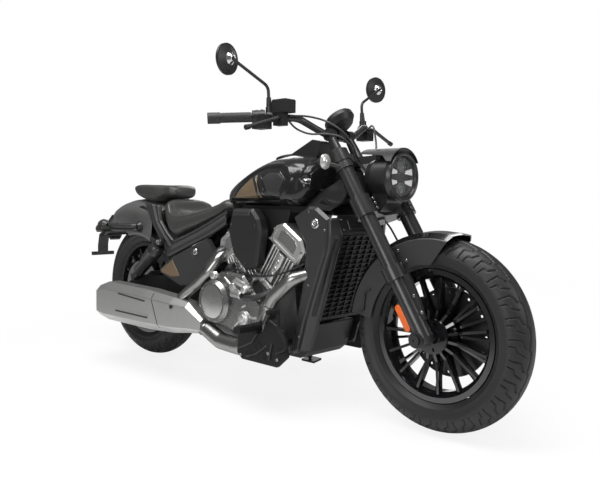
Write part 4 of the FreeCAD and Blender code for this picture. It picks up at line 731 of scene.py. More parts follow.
PILLION_ROWS = np.array([(-0.068, 0.03, 0.786, 0.798, 2.2), (-0.06, 0.062, 0.78, 0.806, 2.6),
    (-0.03, 0.094, 0.764, 0.815, 3.0), (0.04, 0.108, 0.738, 0.82, 3.2), (0.1, 0.11, 0.727, 0.821, 3.2),
    (0.14, 0.101, 0.73, 0.819, 3.2), (0.18, 0.084, 0.748, 0.816, 3.0), (0.225, 0.064, 0.752, 0.808, 2.8),
    (0.238, 0.048, 0.756, 0.798, 2.5), (0.243, 0.026, 0.762, 0.788, 2.2)])


SEAM_DEPTH, FOLD_DEPTH, PUCKER_PITCH = 0.0042, 0.0016, 0.017


def cushion(name, rows, waist, sections, count, dish, seam_turn, node, bolster):
    """A stuffed cushion: dished on top, drawn in along its sewn edge, with the thread on the seam."""
    places = np.linspace(rows[0, 0], rows[-1, 0], sections)
    shape = hull_grid(rows, places, waist, count)
    around = np.linspace(0, 360, count, endpoint=False)[None, :]
    share = ((places - places[0]) / (places[-1] - places[0]))[:, None]
    lengthwise = np.sin(math.pi * np.clip(share, 0, 1)) ** 0.8
    top = step(np.sin(np.radians(around)) - 0.35, 0.5)
    across_seat = step(0.098 - abs(shape[..., 1]), 0.01) * step(share - 0.2, 0.05) * step(0.86 - share, 0.1)
    shape[..., 2] -= dish * lengthwise * top * (np.exp(-(shape[..., 1] / 0.075) ** 2) + across_seat)

    def lines(turn, width):
        """1 along a soft line at this turn of the section on each side, 0 away from it."""
        return sum(np.exp(-((around - at) / width) ** 2) for at in (turn, 180 - turn))

    seam, fold, ridge = lines(seam_turn, 3.2), lines(seam_turn + 9, 9), lines(seam_turn - 17, 10)
    pull = 0.75 + 0.25 * np.sin(places * 2 * math.pi / PUCKER_PITCH)[:, None]
    wander = np.sin(places * 61) * np.sin(places * 23 + 1.3) * np.sin(places * 11 + 0.4)
    depth = (SEAM_DEPTH * seam * pull + FOLD_DEPTH * fold * wander[:, None] - bolster * ridge) * lengthwise
    centre = np.stack([shape[..., 0], shape[..., 1] * 0, np.broadcast_to(shape[..., 2].mean(1)[:, None],
        shape.shape[:2])], -1)
    inward = centre - shape
    shape = shape + inward / np.linalg.norm(inward, axis=-1, keepdims=True) * depth[..., None]
    piece = fitted(name, [(shape.reshape(-1, 3), ring_faces(sections, count))], vinyl, smooth=True)
    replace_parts(piece, node)
    stitches = []
    for turn in (seam_turn, 180 - seam_turn):
        k = int(round(turn / 360 * count))
        line = [Vector(p) for p in shape[:, k]]
        for a, b in zip(line[6:-8:2], line[7:-7:2]):
            out = Vector((0, math.copysign(0.6, a.y), 0.8))
            stitches.append(turned(a + out * 0.0006, b - a, [(0, 0.0006), ((b - a).length * 0.15, 0.0009),
                ((b - a).length * 0.85, 0.0009), ((b - a).length, 0.0006)], 6))
    return stitches


rider_thread = cushion("rider_cushion", RIDER_ROWS, 0.5, 150, 144, 0.016, 52, "rider_seat", 0.0085)
pillion_thread = cushion("pillion_cushion", PILLION_ROWS, 0.62, 110, 120, 0.004, 40, "pillion_seat",
    0.003)
fitted("rider_seat_thread", rider_thread, thread)
fitted("pillion_thread", pillion_thread, thread)

# Fenders. The front one is gloss black along its crown and satin grey down its flat sides, on bent
# stays. The rear one is satin grey, flared over the rails at its sides and narrow at its tail.

def two_tone(name, first, second, edge, rough_first, rough_second):
    """Paint that changes where the machine's sides turn flat, at this distance from the middle."""
    finish = Finish(name)
    place = finish.node("ShaderNodeTexCoord", output="Object")
    tilt = park.to_3x3() @ Vector((0, 1, 0))
    at = finish.node("ShaderNodeVectorMath", {"operation": "DOT_PRODUCT"}, {0: place, 1: tilt},
        output="Value")
    offset = tilt.dot(park.translation)
    off = finish.node("ShaderNodeMath", {"operation": "ABSOLUTE"}, {0: at - offset})
    share = finish.node("ShaderNodeMath", {"operation": "GREATER_THAN"}, {0: off, 1: edge})
    cloud = finish.noise(40)
    color, side = (finish.blend(cloud, rgba(grey), rgba(grey * 1.15)) for grey in (first, second))
    finish.put("Base Color", finish.blend(share, color, side))
    finish.put("Roughness", share * (rough_second - rough_first) + rough_first)
    finish.put("Coat Weight", (1 - share) * 0.6)
    finish.relief(finish.noise(500, 4.0), 0.00001)
    return finish.material


fender_paint = two_tone("front_fender_paint", 0.006, 0.022, 0.0735, 0.1, 0.42)
grey_paint = grained("grey_paint", (0.072, 0.072, 0.071), (0.078, 0.078, 0.077), 0.34, 0.05, 800, 0.00001)
paint("front_fender", fender_paint)
REAR_SECTION = [(0.0, 0.426), (0.04, 0.425), (0.072, 0.421), (0.096, 0.413), (0.114, 0.401), (0.1275, 0.386),
    (0.133, 0.37), (0.131, 0.352), (0.1235, 0.33), (0.116, 0.3), (0.112, 0.27), (0.1105, 0.254)]
FENDER_START, FENDER_ARC, FENDER_STEPS = 64.0, 81.0, 72
SKIRT_END, SKIRT_RUN, SKIRT_RADIUS, SKIRT_DEPTH = 104.0, 19.0, 0.254, 0.158


def rear_fender_skin():
    """The fender's skin, flared at each side where it covers the rails, its skirt cut away behind."""
    outer = REAR_SECTION[::-1] + [(-y, r) for y, r in REAR_SECTION[1:]]
    ring = outer + [(y * 0.972, r - 0.0035) for y, r in outer[::-1]]
    points = []
    for i in range(FENDER_STEPS + 1):
        a = math.radians(FENDER_START + FENDER_ARC * i / FENDER_STEPS)
        end = min(max((math.degrees(a) - SKIRT_END) / SKIRT_RUN, 0.0), 1.0)
        for y, r in ring:
            r, y = max(r, SKIRT_RADIUS + SKIRT_DEPTH * end), y * (1 - 0.26 * max(end - 0.6, 0.0) / 0.4)
            points.append(rear_axle_up + Vector((r * math.cos(a), y, r * math.sin(a))))
    return outward(points, ring_faces(FENDER_STEPS + 1, len(ring)))


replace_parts(fitted("rear_fender_skin", [rear_fender_skin()], grey_paint, smooth=True), "rear_fender")
STAY_ROUTE = [(1.366, 0.452), (1.346, 0.44), (1.34, 0.378), (1.312, 0.364)]
stay = []
for s in (1, -1):
    y = s * 0.0795
    for a, b in zip(STAY_ROUTE, STAY_ROUTE[1:]):
        middle = Vector(((a[0] + b[0]) / 2, y, (a[1] + b[1]) / 2))
        along = Vector((b[0] - a[0], 0, b[1] - a[1]))
        stay.append(slab(middle, along, (0, s, 0), stadium(along.length / 2 + 0.004, 0.0042, 6), -0.0025,
            0.003))
fitted("front_fender_stays", stay, screw_black, "steering")
FENDER_BOLTS = [(1.512, 0.56), (1.478, 0.59)]
fitted("front_fender_bolts", [socket_screw((x, s * 0.0765, z), (0, s, 0), 0.006) for x, z in FENDER_BOLTS
    for s in (1, -1)], screw_steel, "steering")

# Side panels, frame and stand. Satin grey covers with a round lock and a bronze patch low at the
# back; the stand, carrier and shocks are painted black, and the frame, swingarm and foot controls are
# a still darker black that adds painted shade to their black paint.

paint("side_covers radiator_shrouds", plate_grey)
paint("seat_rail_panels belly_pan", moulded)
paint("side_stand stand_bracket tail_carrier rear_shocks rear_caliper rear_pulley", fork_black)
# shade_black is painted shade, a black darker than paint: over the black paint of the frame, swingarm and
# foot controls inside the machine, and alone for the tray under the tank and the foot bracket holes.
shade_black = grained("shade_black", 0.004, 0.007, 0.55, 0.1, 500, 0.00002, Specular_IOR_Level=0.25)
paint("frame swingarm foot_controls", shade_black)
cover_skin = surface(frame["nodes"]["side_covers"])
for s, word in SIDES.items():
    lock = Vector((0.512, s * 0.1598, 0.531))
    fitted("cover_lock_" + word, [turned(lock, (0, s, 0), [(-0.001, 0.0262), (0.001, 0.026), (0.0016, 0.024),
        (0.0004, 0.0225), (0.0004, 0.0145)], 40), turned(lock, (0, s, 0), [(-0.001, 0.01), (0.0012, 0.0098)],
        32)], screw_black)
    fitted("cover_knob_" + word, [turned(lock, (0, s, 0), [(0.0004, 0.0138), (0.0032, 0.0136),
        (0.0044, 0.0122), (0.0044, 0.004), (0.0025, 0.0035)], 36)], mirror_silver, smooth=True)
    fitted("cover_patch_" + word, [laid_on(cover_skin, [(0.275, 0.427), (0.343, 0.411), (0.402, 0.419)],
        [(0.274, 0.438), (0.352, 0.486), (0.4, 0.426)], s, 0.0012, 40, 14)], bronze, smooth=True)
    fitted("cover_key_" + word, [slab(lock, (1, 0, 1), (0, s, 0), stadium(0.006, 0.0016, 5), 0.002, 0.0052,
        0.0005)], screw_steel)

# Engine. Cast aluminium heads and covers left silver, darker cylinders and crankcase with cast ribs
# and plugs down each barrel. Screws ring the covers, and each head has a smooth panel at its end.

cast_silver = grained("cast_silver", (0.5, 0.5, 0.493), (0.6, 0.6, 0.593), 0.42, 0.1, 500, 0.00003,
    Metallic=0.95)
cast_dark = grained("cast_dark", 0.07, 0.095, 0.4, 0.1, 500, 0.00003, Metallic=0.8)
cast_case = grained("cast_case", (0.15, 0.15, 0.148), (0.2, 0.2, 0.198), 0.36, 0.1, 400, 0.00004,
    Metallic=0.9)
smooth_silver = grained("smooth_silver", (0.47, 0.47, 0.464), (0.55, 0.55, 0.544), 0.24, 0.06, 300, 0.00001,
    Metallic=0.98)
paint("cylinder_heads", cast_silver)
cast_cover = grained("cast_cover", (0.2, 0.2, 0.197), (0.29, 0.29, 0.287), 0.27, 0.12, 260, 0.00005,
    Metallic=0.95)
paint("engine_covers", cast_cover)
paint("front_cylinders rear_cylinders", cast_dark)
paint("crankcase", cast_case)
BANK_TILT = math.radians(33.0)
CRANK = Vector((0.89, 0, 0.33))
BARREL_TOP, BARREL_SIDE = 0.256, 0.12
GEAR_FACE, GEAR_SCREW_FACE, CLUTCH_SCREW_FACE, ALTERNATOR_FACE = -0.1945, -0.1955, -0.2195, 0.1838


def on_bank(side, w, y, l):
    """From cylinder coordinates: w along the engine, l out along the bank; side 1 is the front."""
    out = Vector((side * math.sin(BANK_TILT), 0, math.cos(BANK_TILT)))
    fore = Vector((math.cos(BANK_TILT), 0, -side * math.sin(BANK_TILT)))
    return CRANK + fore * w + out * l + Vector((0, y, 0))


engine_screws, ribs, plugs = [], [], []
for s, word in SIDES.items():
    face = (0, s, 0)
    for bank, shift in ((1, -0.026), (-1, 0.0)):
        for w, l in ((-0.079, 0.262), (0.079, 0.262), (-0.079, 0.306), (0.079, 0.312)):
            engine_screws.append(socket_screw(on_bank(bank, w + shift * bank, s * 0.1455, l), face, 0.0048))
        out = on_bank(bank, 0, 0, 1) - on_bank(bank, 0, 0, 0)
        panel = [(-0.026, -0.05), (0.02, -0.05), (0.034, -0.034), (0.034, 0.03), (0.016, 0.05),
            (-0.026, 0.05)]
        middle = on_bank(bank, shift * bank, s * 0.1418, 0.302)
        fitted("head_panel_%s_%s" % ("front" if bank > 0 else "rear", word), [slab(middle, out, face,
            [(x * 0.8, y * s * bank) for x, y in panel], -0.001, 0.0022, 0.0008)], smooth_silver)
        fore = on_bank(bank, 1, 0, 0) - on_bank(bank, 0, 0, 0)
        for w, wide, foot in ((-0.06, 0.0045, 0.118), (-0.043, 0.0032, 0.112), (-0.03, 0.003, 0.108),
                (0.026, 0.0034, 0.108), (0.04, 0.0032, 0.112), (0.058, 0.005, 0.118)):
            ribs.append(slab(on_bank(bank, w + shift * bank * 0.6, s * BARREL_SIDE, (foot + BARREL_TOP) / 2),
                out, face, box((BARREL_TOP - foot) / 2, wide), -0.006, 0.028, 0.0012))
        plate = [(-0.062, -0.016), (0.058, -0.02), (0.058, 0.014), (0.02, 0.018), (-0.02, 0.01),
            (-0.062, 0.014)]
        ribs.append(slab(on_bank(bank, shift * bank * 0.6 - 0.002, s * BARREL_SIDE, 0.19), out, face,
            [(x, y * bank * s) for x, y in plate], -0.006, 0.032, 0.0015))
        ribs.append(slab(on_bank(bank, shift * bank * 0.6, s * 0.14, 0.112), fore, face, box(0.074, 0.01),
            -0.004, 0.018, 0.002))
        for w, l in ((-0.062, 0.112), (-0.02, 0.112), (0.024, 0.112), (0.064, 0.112)):
            engine_screws.append(socket_screw(on_bank(bank, w + shift * bank * 0.6, s * 0.1575, l), face,
                0.0055))
        for l in (0.158, 0.186, 0.216):
            plugs.append(turned(on_bank(bank, shift * bank * 0.6 - 0.002, s * 0.15, l), face,
                [(0, 0.0085), (0.004, 0.008), (0.0045, 0.0045), (0.0025, 0.004)], 20))
GEAR_SCREWS = [(0.628, 0.334), (0.664, 0.41), (0.708, 0.452), (0.762, 0.458), (0.84, 0.45), (0.89, 0.402),
    (0.94, 0.352), (0.93, 0.294), (0.848, 0.264), (0.796, 0.252), (0.7, 0.262), (0.64, 0.284)]
for x, z in GEAR_SCREWS:
    engine_screws.append(socket_screw((x, GEAR_SCREW_FACE, z), (0, -1, 0), 0.0058))
for k in range(6):
    a = math.radians(60 * k + 20)
    engine_screws.append(socket_screw((0.69 + 0.0725 * math.cos(a), CLUTCH_SCREW_FACE,
        0.346 + 0.0725 * math.sin(a)), (0, -1, 0), 0.0042, 0.003))
ALTERNATOR_SCREWS = [(0.712, 0.398), (0.798, 0.446), (0.916, 0.424), (0.958, 0.332), (0.888, 0.244),
    (0.736, 0.268)]
for x, z in ALTERNATOR_SCREWS:
    engine_screws.append(socket_screw((x, ALTERNATOR_FACE, z), (0, 1, 0), 0.0058))
fitted("engine_screws", engine_screws, screw_steel)
fitted("cylinder_studs", ribs, cast_silver, smooth=True)
fitted("cylinder_plugs", plugs, smooth_silver, smooth=True)

clutch = Vector((0.69, -0.216, 0.346))
fitted("clutch_disc", [turned(clutch, (0, -1, 0), [(-0.002, 0.0668), (0.0012, 0.0668), (0.002, 0.0655),
    (0.0024, 0.064), (0.003, 0.01), (0.003, 0.0005)], 72)], smooth_silver, smooth=True)
fitted("alternator_ring", [turned((0.86, 0.2015, 0.33), (0, 1, 0), [(-0.001, 0.064), (0.0022, 0.0635),
    (0.0028, 0.0615), (0.0014, 0.06), (0.0014, 0.02), (0.0024, 0.019), (0.0024, 0.0005)], 72)],
    smooth_silver, smooth=True)
BOSSES = [
    (0.864, 0.3, [(0, 0.03), (0.012, 0.0285), (0.016, 0.025), (0.015, 0.017), (0.019, 0.0155),
        (0.021, 0.012), (0.021, 0.0005)]),
    (0.876, 0.411, [(0, 0.019), (0.014, 0.018), (0.018, 0.015), (0.024, 0.0145), (0.027, 0.011),
        (0.027, 0.0005)]),
    (0.684, 0.449, [(0, 0.017), (0.014, 0.016), (0.016, 0.014), (0.016, 0.0005)]),
    (0.792, 0.412, [(0, 0.018), (0.006, 0.017), (0.008, 0.014), (0.008, 0.0005)])]
OUTLET = [(0, 0.008), (0.004, 0.0135), (0.052, 0.0135), (0.054, 0.0155), (0.062, 0.0155), (0.064, 0.013)]
WEB = [(-0.052, -0.01), (0.04, -0.014), (0.052, 0.008), (-0.036, 0.012)]
bosses = [turned((x, GEAR_FACE, z), (0, -1, 0), profile, count) for (x, z, profile), count in zip(BOSSES,
    (44, 36, 32, 32))]
bosses.append(turned((0.8, -0.208, 0.3905), (1, -0.06, -0.05), OUTLET, 36))
bosses.append(slab((0.852, -0.196, 0.4315), (0.081, 0, -0.023), (0, -1, 0), WEB, -0.001, 0.012, 0.0015))
for a, b, r in (((0.78, 0.42), (0.742, 0.446), 0.0055), ((0.806, 0.408), (0.866, 0.384), 0.006),
        ((0.836, 0.29), (0.806, 0.262), 0.0055), ((0.886, 0.306), (0.934, 0.306), 0.006),
        ((0.868, 0.352), (0.846, 0.34), 0.0055)):
    foot = Vector((a[0], GEAR_SCREW_FACE, a[1]))
    top = Vector((b[0], GEAR_SCREW_FACE, b[1]))
    bosses.append(turned(foot, top - foot, [(0, r * 0.6), (r, r), ((top - foot).length - r, r),
        ((top - foot).length, r * 0.6)], 16))
fitted("gear_cover_bosses", bosses, cast_silver, smooth=True)
filler = [turned((0.746, -0.156, 0.478), (-0.2, -0.5, 0.84), [(0, 0.016), (0.012, 0.0155), (0.013, 0.0185),
    (0.021, 0.018), (0.022, 0.015)], 12)]
fitted("oil_filler", filler, screw_black)

# Intake pods. Plain moulded covers over the cylinders, each side held by three black screws, with a
# lighter grey strip along the top edge: a painted highlight where the top facet catches the light.

paint("air_pods", moulded)
pods = surface(frame["nodes"]["air_pods"])
for s, word in SIDES.items():
    fitted("pod_screws_" + word, [socket_screw((x, s * 0.1918, z), (0, s, 0), 0.0062, 0.0025)
        for x, z in ((0.774, 0.651), (0.905, 0.652), (0.856, 0.506))], screw_black)
    # Painted highlight: a lighter grey strip along the top edge of the black pod.
    fitted("pod_top_highlight_" + word, [laid_on(pods, [(0.778, 0.69), (0.88, 0.692)], [(0.79, 0.708),
        (0.878, 0.709)], s, 0.0008, 20, 8)], plate_grey, smooth=True)

# Exhaust. Polished header pipes run into a satin silencer with pressed grooves, ridges and a bolt on
# its outer face, a clamp at its front and two tips at its back. The grooves are dark bands of painted
# shade laid on the face.

polished = grained("polished_steel", (0.25, 0.248, 0.244), (0.31, 0.307, 0.302), 0.3, 0.06, 200, 0.000005,
    Metallic=1.0)
silencer_grey = grained("silencer_grey", (0.45, 0.45, 0.444), (0.5, 0.5, 0.494), 0.38, 0.06, 600, 0.00001,
    Metallic=0.9)
groove_painted_shade = grained("groove_painted_shade", 0.05, 0.07, 0.45, 0.08, 600, 0.00002, Metallic=0.6)
paint("header_pipes", polished)
paint("muffler", silencer_grey)
can = surface(frame["nodes"]["muffler"])


def line_on(skin, a, b, wide, side, proud):
    """A straight band laid on a side face from a to b."""
    along = Vector((b[0] - a[0], b[1] - a[1])).normalized()
    nx, nz = -along.y * wide / 2, along.x * wide / 2
    return laid_on(skin, [(a[0] - nx, a[1] - nz), (b[0] - nx, b[1] - nz)], [(a[0] + nx, a[1] + nz),
        (b[0] + nx, b[1] + nz)], side, proud, 24, 4)


# Painted shade: dark bands laid along the pressed grooves stand for the shade inside them.
GROOVE_SHADES = [
    line_on(can, (0.094, 0.322), (0.303, 0.31), 0.0075, -1, 0.0004),
    line_on(can, (0.072, 0.243), (0.323, 0.241), 0.0075, -1, 0.0004),
    line_on(can, (0.338, 0.346), (0.398, 0.205), 0.0045, -1, 0.0005)]
RIDGES = [
    line_on(can, (0.094, 0.331), (0.303, 0.321), 0.006, -1, 0.0026),
    line_on(can, (0.072, 0.252), (0.323, 0.251), 0.006, -1, 0.0026)]
fitted("silencer_groove_shades", GROOVE_SHADES, groove_painted_shade)
fitted("silencer_ridges", RIDGES, silencer_grey)
hit, out, _, _ = can.ray_cast(Vector((0.483, -0.6, 0.306)), Vector((0, 1, 0)))
fitted("silencer_bolt", [socket_screw(hit, -out if out.y > 0 else out, 0.0085, 0.005)], screw_black)
tips = []
for z in (0.3, 0.238):
    tips.append(turned((-0.11, -0.208, z), (-1, 0, 0), [(0, 0.021), (0.018, 0.021), (0.02, 0.02),
        (0.0195, 0.018), (-0.01, 0.017), (-0.01, 0.0005)], 40))
fitted("exhaust_tips", tips, polished, smooth=True)
clamp = [turned((0.6415, -0.208, 0.229), (1, 0, 0.05), [(-0.016, 0.025), (-0.015, 0.0265), (0.015, 0.0265),
    (0.016, 0.025), (0.016, 0.0215)], 36)]
fitted("silencer_clamp", clamp, polished, smooth=True)

# Radiator sides and foot brackets. Each grey side panel has a large bright cap near its top and
# small screws down its edges; the foot brackets are black plates with cast ribs, shallow dark dishes of
# painted shade where their lightening holes are, and three bolts, and rubber treads lie on the pegs.

radiator_black = grained("radiator_black", 0.003, 0.005, 0.45, 0.08, 700, 0.00001, Specular_IOR_Level=0.3)
paint("radiator", radiator_black)
PANEL_FACE, BRACKET_FACE = 0.1655, 0.2458
panel_screws, caps = [], []
for s in (1, -1):
    caps.append(turned((1.187, s * PANEL_FACE, 0.671), (0, s, 0), [(0, 0.0175), (0.0025, 0.0172),
        (0.004, 0.015), (0.003, 0.012), (0.003, 0.006), (0.0015, 0.0055)], 40))
    for x, z in ((1.156, 0.712), (1.232, 0.65), (1.16, 0.452), (1.118, 0.262)):
        panel_screws.append(socket_screw((x, s * PANEL_FACE, z), (0, s, 0), 0.0042, 0.002))
    for x, z in ((0.897, 0.174), (1.043, 0.202), (1.09, 0.186)):
        panel_screws.append(socket_screw((x, s * BRACKET_FACE, z), (0, s, 0), 0.0058, 0.003))
fitted("side_panel_caps", caps, mirror_silver, smooth=True)
fitted("panel_screws", panel_screws, screw_steel)
treads = []
for s in (1, -1):
    for k in range(9):
        treads.append(slab((0.98, s * (0.262 + k * 0.0085), 0.3005), (1, 0, 0.1), (-0.1, 0, 1),
            box(0.013, 0.0022), -0.001, 0.003, 0.0008))
fitted("peg_treads", treads, rubber)
BRACKET_RIBS = [
    [(0.888, 0.196), (0.96, 0.228), (0.992, 0.268)],
    [(0.928, 0.17), (0.984, 0.19), (1.036, 0.226)],
    [(1.052, 0.178), (1.066, 0.24)]]
ribs, hole_shades = [], []
for s in (1, -1):
    for a, b in (pair for route in BRACKET_RIBS for pair in zip(route, route[1:])):
        run = Vector((b[0] - a[0], 0, b[1] - a[1]))
        mid = Vector(((a[0] + b[0]) / 2, s * BRACKET_FACE, (a[1] + b[1]) / 2))
        along = run.normalized()
        ribs.append(slab(mid, along, (-along.z, 0, along.x), stadium(run.length / 2, 0.0042, 8), -0.001,
            0.0045, 0.0015))
    # Painted shade: each lightening hole is a shallow dish in the darkest black, standing for the shade seen
    # through it.
    for x, z, r in ((0.938, 0.186, 0.0115), (0.992, 0.218, 0.014), (1.02, 0.184, 0.008)):
        hole_shades.append(turned((x, s * 0.2455, z), (0, s, 0), [(-0.004, r + 0.003), (0.0022, r + 0.003),
            (0.0026, r), (0.0004, r - 0.001), (0.0004, 0.0005)], 28))
fitted("bracket_ribs", ribs, screw_black)
fitted("bracket_hole_painted_shades", hole_shades, shade_black, smooth=True)

# Tail lamps. A red moulded lens stands on the rear fender's tail, and a narrow smoked lens is set
# into each lamp at the side.

red_lens = grained("red_lens", (0.26, 0.008, 0.008), (0.32, 0.012, 0.012), 0.14, 0.05, 400, 0.00002,
    Coat_Weight=0.6)
smoked = grained("smoked_lens", (0.012, 0.01, 0.008), (0.02, 0.016, 0.012), 0.1, 0.05, 400, 0.00001,
    Coat_Weight=0.6)
paint("tail_lamps", screw_black)
fitted("indicator_smoked", [slab((-0.108, s * 0.241, 0.604), (1, 0, 0), (0, s, 0), stadium(0.03, 0.011, 8),
    -0.003, 0.004, 0.0015) for s in (1, -1)], smoked, smooth=True)
lamp_up = Vector((math.cos(math.radians(136)), 0, math.sin(math.radians(136))))
lamp_at = rear_axle_up + lamp_up * 0.466
lamp_outline = box(0.044, 0.016)
fitted("stop_lamp_lens", [slab(lamp_at, (0, 1, 0), lamp_up, lamp_outline, -0.002, 0.0035, 0.0015)], red_lens)

# Covers of the frame. Black pressed sheets close the steering neck, and a black slab under the tank
# is painted shade that fills the gap beneath it; satin grey facets and a screwed-on cover finish the
# radiator, and V-shaped grey panels with a raised bead follow the seat rails.

def sheet(first, second, shares, long=24, thick=0.003, section=None):
    """A pressed sheet between two edges; section pushes it out sideways at each share of its width."""
    first, second = on_path(first, long), on_path(second, long)
    shares = np.array(shares, float)
    grid = first[:, None, :] * (1 - shares)[None, :, None] + second[:, None, :] * shares[None, :, None]
    side = np.sign(grid[..., 1].mean())
    if section is not None:
        grid[..., 1] += side * np.array(section, float)[None, :]
    back = grid.copy()
    back[..., 1] -= side * thick
    return outward(np.concatenate([grid.reshape(-1, 3), back.reshape(-1, 3)]), plate_faces(long, len(shares)))


def mirrored(route, s):
    return [(x, s * y, z) for x, y, z in route]


def at_side(route, y):
    return [(x, y, z) for x, z in route]


NECK_BACK = [(1.184, 0.062, 0.814), (1.16, 0.084, 0.795), (1.128, 0.112, 0.76), (1.108, 0.136, 0.722)]
NECK_FRONT = [(1.217, 0.062, 0.832), (1.258, 0.072, 0.784), (1.243, 0.082, 0.744), (1.238, 0.146, 0.716)]
BEAD_AT = [0, 0.05, 0.09, 0.13, 0.3, 0.345, 0.4, 0.45, 0.7, 0.94, 1.0]
BEAD_OUT = [-0.01, -0.003, 0.004, -0.002, -0.001, 0.008, 0.008, 0.0, 0.002, 0.002, -0.006]
RAIL_INNER = [(0.224, 0.719), (0.24, 0.65), (0.29, 0.602), (0.331, 0.573)]
RAIL_OUTER = [(0.118, 0.73), (0.145, 0.687), (0.18, 0.633), (0.231, 0.575), (0.269, 0.528), (0.29, 0.489)]
SPAR_INNER = [(0.331, 0.573), (0.418, 0.601), (0.501, 0.63), (0.596, 0.67), (0.692, 0.712)]
SPAR_OUTER = [(0.29, 0.489), (0.331, 0.502), (0.449, 0.548), (0.578, 0.596), (0.686, 0.651)]
FACET_OUTER = [(1.252, 0.692), (1.242, 0.583), (1.189, 0.439), (1.144, 0.309), (1.114, 0.206)]
FACET_INNER = [(1.258, 0.694), (1.276, 0.634), (1.216, 0.439), (1.176, 0.318), (1.139, 0.205)]
RAIL_SIDE, RADIATOR_SIDE = 0.143, 0.121
necks, rails, facets = [], [], []
for s in (1, -1):
    necks.append(sheet(mirrored(NECK_BACK, s), mirrored(NECK_FRONT, s), np.linspace(0, 1, 12),
        section=0.003 * np.sin(np.linspace(0, math.pi, 12))))
    for inner, outer in ((RAIL_INNER, RAIL_OUTER), (SPAR_INNER, SPAR_OUTER)):
        rails.append(sheet(at_side(inner, s * RAIL_SIDE), at_side(outer, s * RAIL_SIDE), BEAD_AT, 40, 0.005,
            BEAD_OUT))
    facets.append(sheet(at_side(FACET_OUTER, s * PANEL_FACE), at_side(FACET_INNER, s * RADIATOR_SIDE),
        [0, 0.3, 0.7, 1], 40, 0.003))
fitted("neck_covers", necks, shade_black, smooth=True)
rail_covers = fitted("rail_covers", rails, plate_grey, smooth=True)
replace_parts(rail_covers, "seat_rail_panels")
fitted("shroud_facets", facets, plate_grey, smooth=True)

COVER_UP = Vector((-0.031, 0, 0.073)).normalized()
cover_out = Vector((COVER_UP.z, 0, -COVER_UP.x))
cover_mid = Vector((1.2625, 0, 0.6685))
outline = [(-0.121, -0.036), (0.121, -0.036), (0.121, 0.03), (0.112, 0.038), (-0.112, 0.038), (-0.121, 0.03)]
raised = [(x * 0.62, y * 0.5) for x, y in outline]
behind = [(x, y * 1.1) for x, y in outline]
top_plate = [
    slab(cover_mid, (0, 1, 0), cover_out, outline, -0.003, 0.0, 0.001),
    slab(cover_mid, (0, 1, 0), cover_out, raised, -0.001, 0.003, 0.002),
    slab((1.21, 0, 0.7045), (0, 1, 0), (0.05, 0, 1), behind, -0.003, 0.0, 0.001)]
fitted("radiator_top_cover", top_plate, plate_grey)
# Painted shade: a black slab across the gap under the tank, standing for the shade there.
under_tank_shade = [(0.76, 0.706), (1.14, 0.706), (1.236, 0.7), (1.214, 0.74), (1.18, 0.756), (1.15, 0.73), (0.76, 0.73)]
fitted("under_tank_painted_shade", [slab((0, 0, 0), (1, 0, 0), (0, -1, 0), under_tank_shade, -0.118, 0.118, 0.004)], shade_black)
fitted("radiator_top_screws", [socket_screw(cover_mid + Vector((0, y, 0)) + COVER_UP * up, cover_out, 0.0042,
    0.002) for y in (-0.104, 0.104) for up in (-0.018, 0.018)], screw_steel)

# Rear shocks. Each is a black damper body in stepped sleeves from the rail down to the swingarm,
# held at its top by a bright bolt.

shocks = []
for s in (1, -1):
    top, low = Vector((0.262, s * 0.152, 0.558)), Vector((0.052, s * 0.152, 0.384))
    down = (low - top).normalized()
    shocks.append(turned(top + down * 0.02, down, [(0, 0.018), (0.004, 0.03), (0.04, 0.0325),
        (0.044, 0.0345), (0.052, 0.0345), (0.055, 0.0325), (0.118, 0.034), (0.121, 0.031), (0.128, 0.031),
        (0.131, 0.0285), (0.205, 0.027), (0.212, 0.02)], 40))
    shocks.append(socket_screw(top + Vector((0, s * 0.01, 0)), (0, s, 0), 0.0135, 0.008))
fitted("shock_covers", shocks, fork_black, smooth=True)
fitted("shock_bolts", [turned((0.262, s * 0.17, 0.558), (0, s, 0), [(0, 0.012), (0.004, 0.0118),
    (0.005, 0.01), (0.003, 0.006), (0.003, 0.0005)], 24) for s in (1, -1)], screw_steel)

# Header covers. Polished covers round the front header's elbow and the pipe under the engine, with
# a steel clamp where the elbow meets the pipe, and a black cover round the rear cylinder's pipe.

def rounded(route, radius, count=8):
    """A route of straight runs with its corners rounded off."""
    route = [Vector(p) for p in route]
    points = [route[0]]
    for before, corner, after in zip(route, route[1:], route[2:]):
        a, b = (before - corner), (after - corner)
        reach = min(radius * math.tan((math.pi - a.angle(b)) / 2), a.length * 0.48, b.length * 0.48)
        first, last = corner + a.normalized() * reach, corner + b.normalized() * reach
        for k in range(count + 1):
            t = k / count
            points.append(first * (1 - t) ** 2 + corner * (2 * t * (1 - t)) + last * t ** 2)
    return points + [route[-1]]


def swept(route, radii, count=28):
    """A round bar along a route, its radius running through radii evenly along it."""
    route = on_path(route, 4 * len(route))
    radii = np.interp(np.linspace(0, 1, len(route)), np.linspace(0, 1, len(radii)), radii)
    points = []
    ahead = Vector(route[1] - route[0]).normalized()
    u = ahead.orthogonal().normalized()
    for i, at in enumerate(route):
        step_on = Vector(route[min(i + 1, len(route) - 1)] - route[max(i - 1, 0)]).normalized()
        u = (u - step_on * u.dot(step_on)).normalized()
        v = step_on.cross(u)
        for k in range(count):
            a = 2 * math.pi * k / count
            points.append(Vector(at) + (u * math.cos(a) + v * math.sin(a)) * radii[i])
    return outward(points, ring_faces(len(route), count))


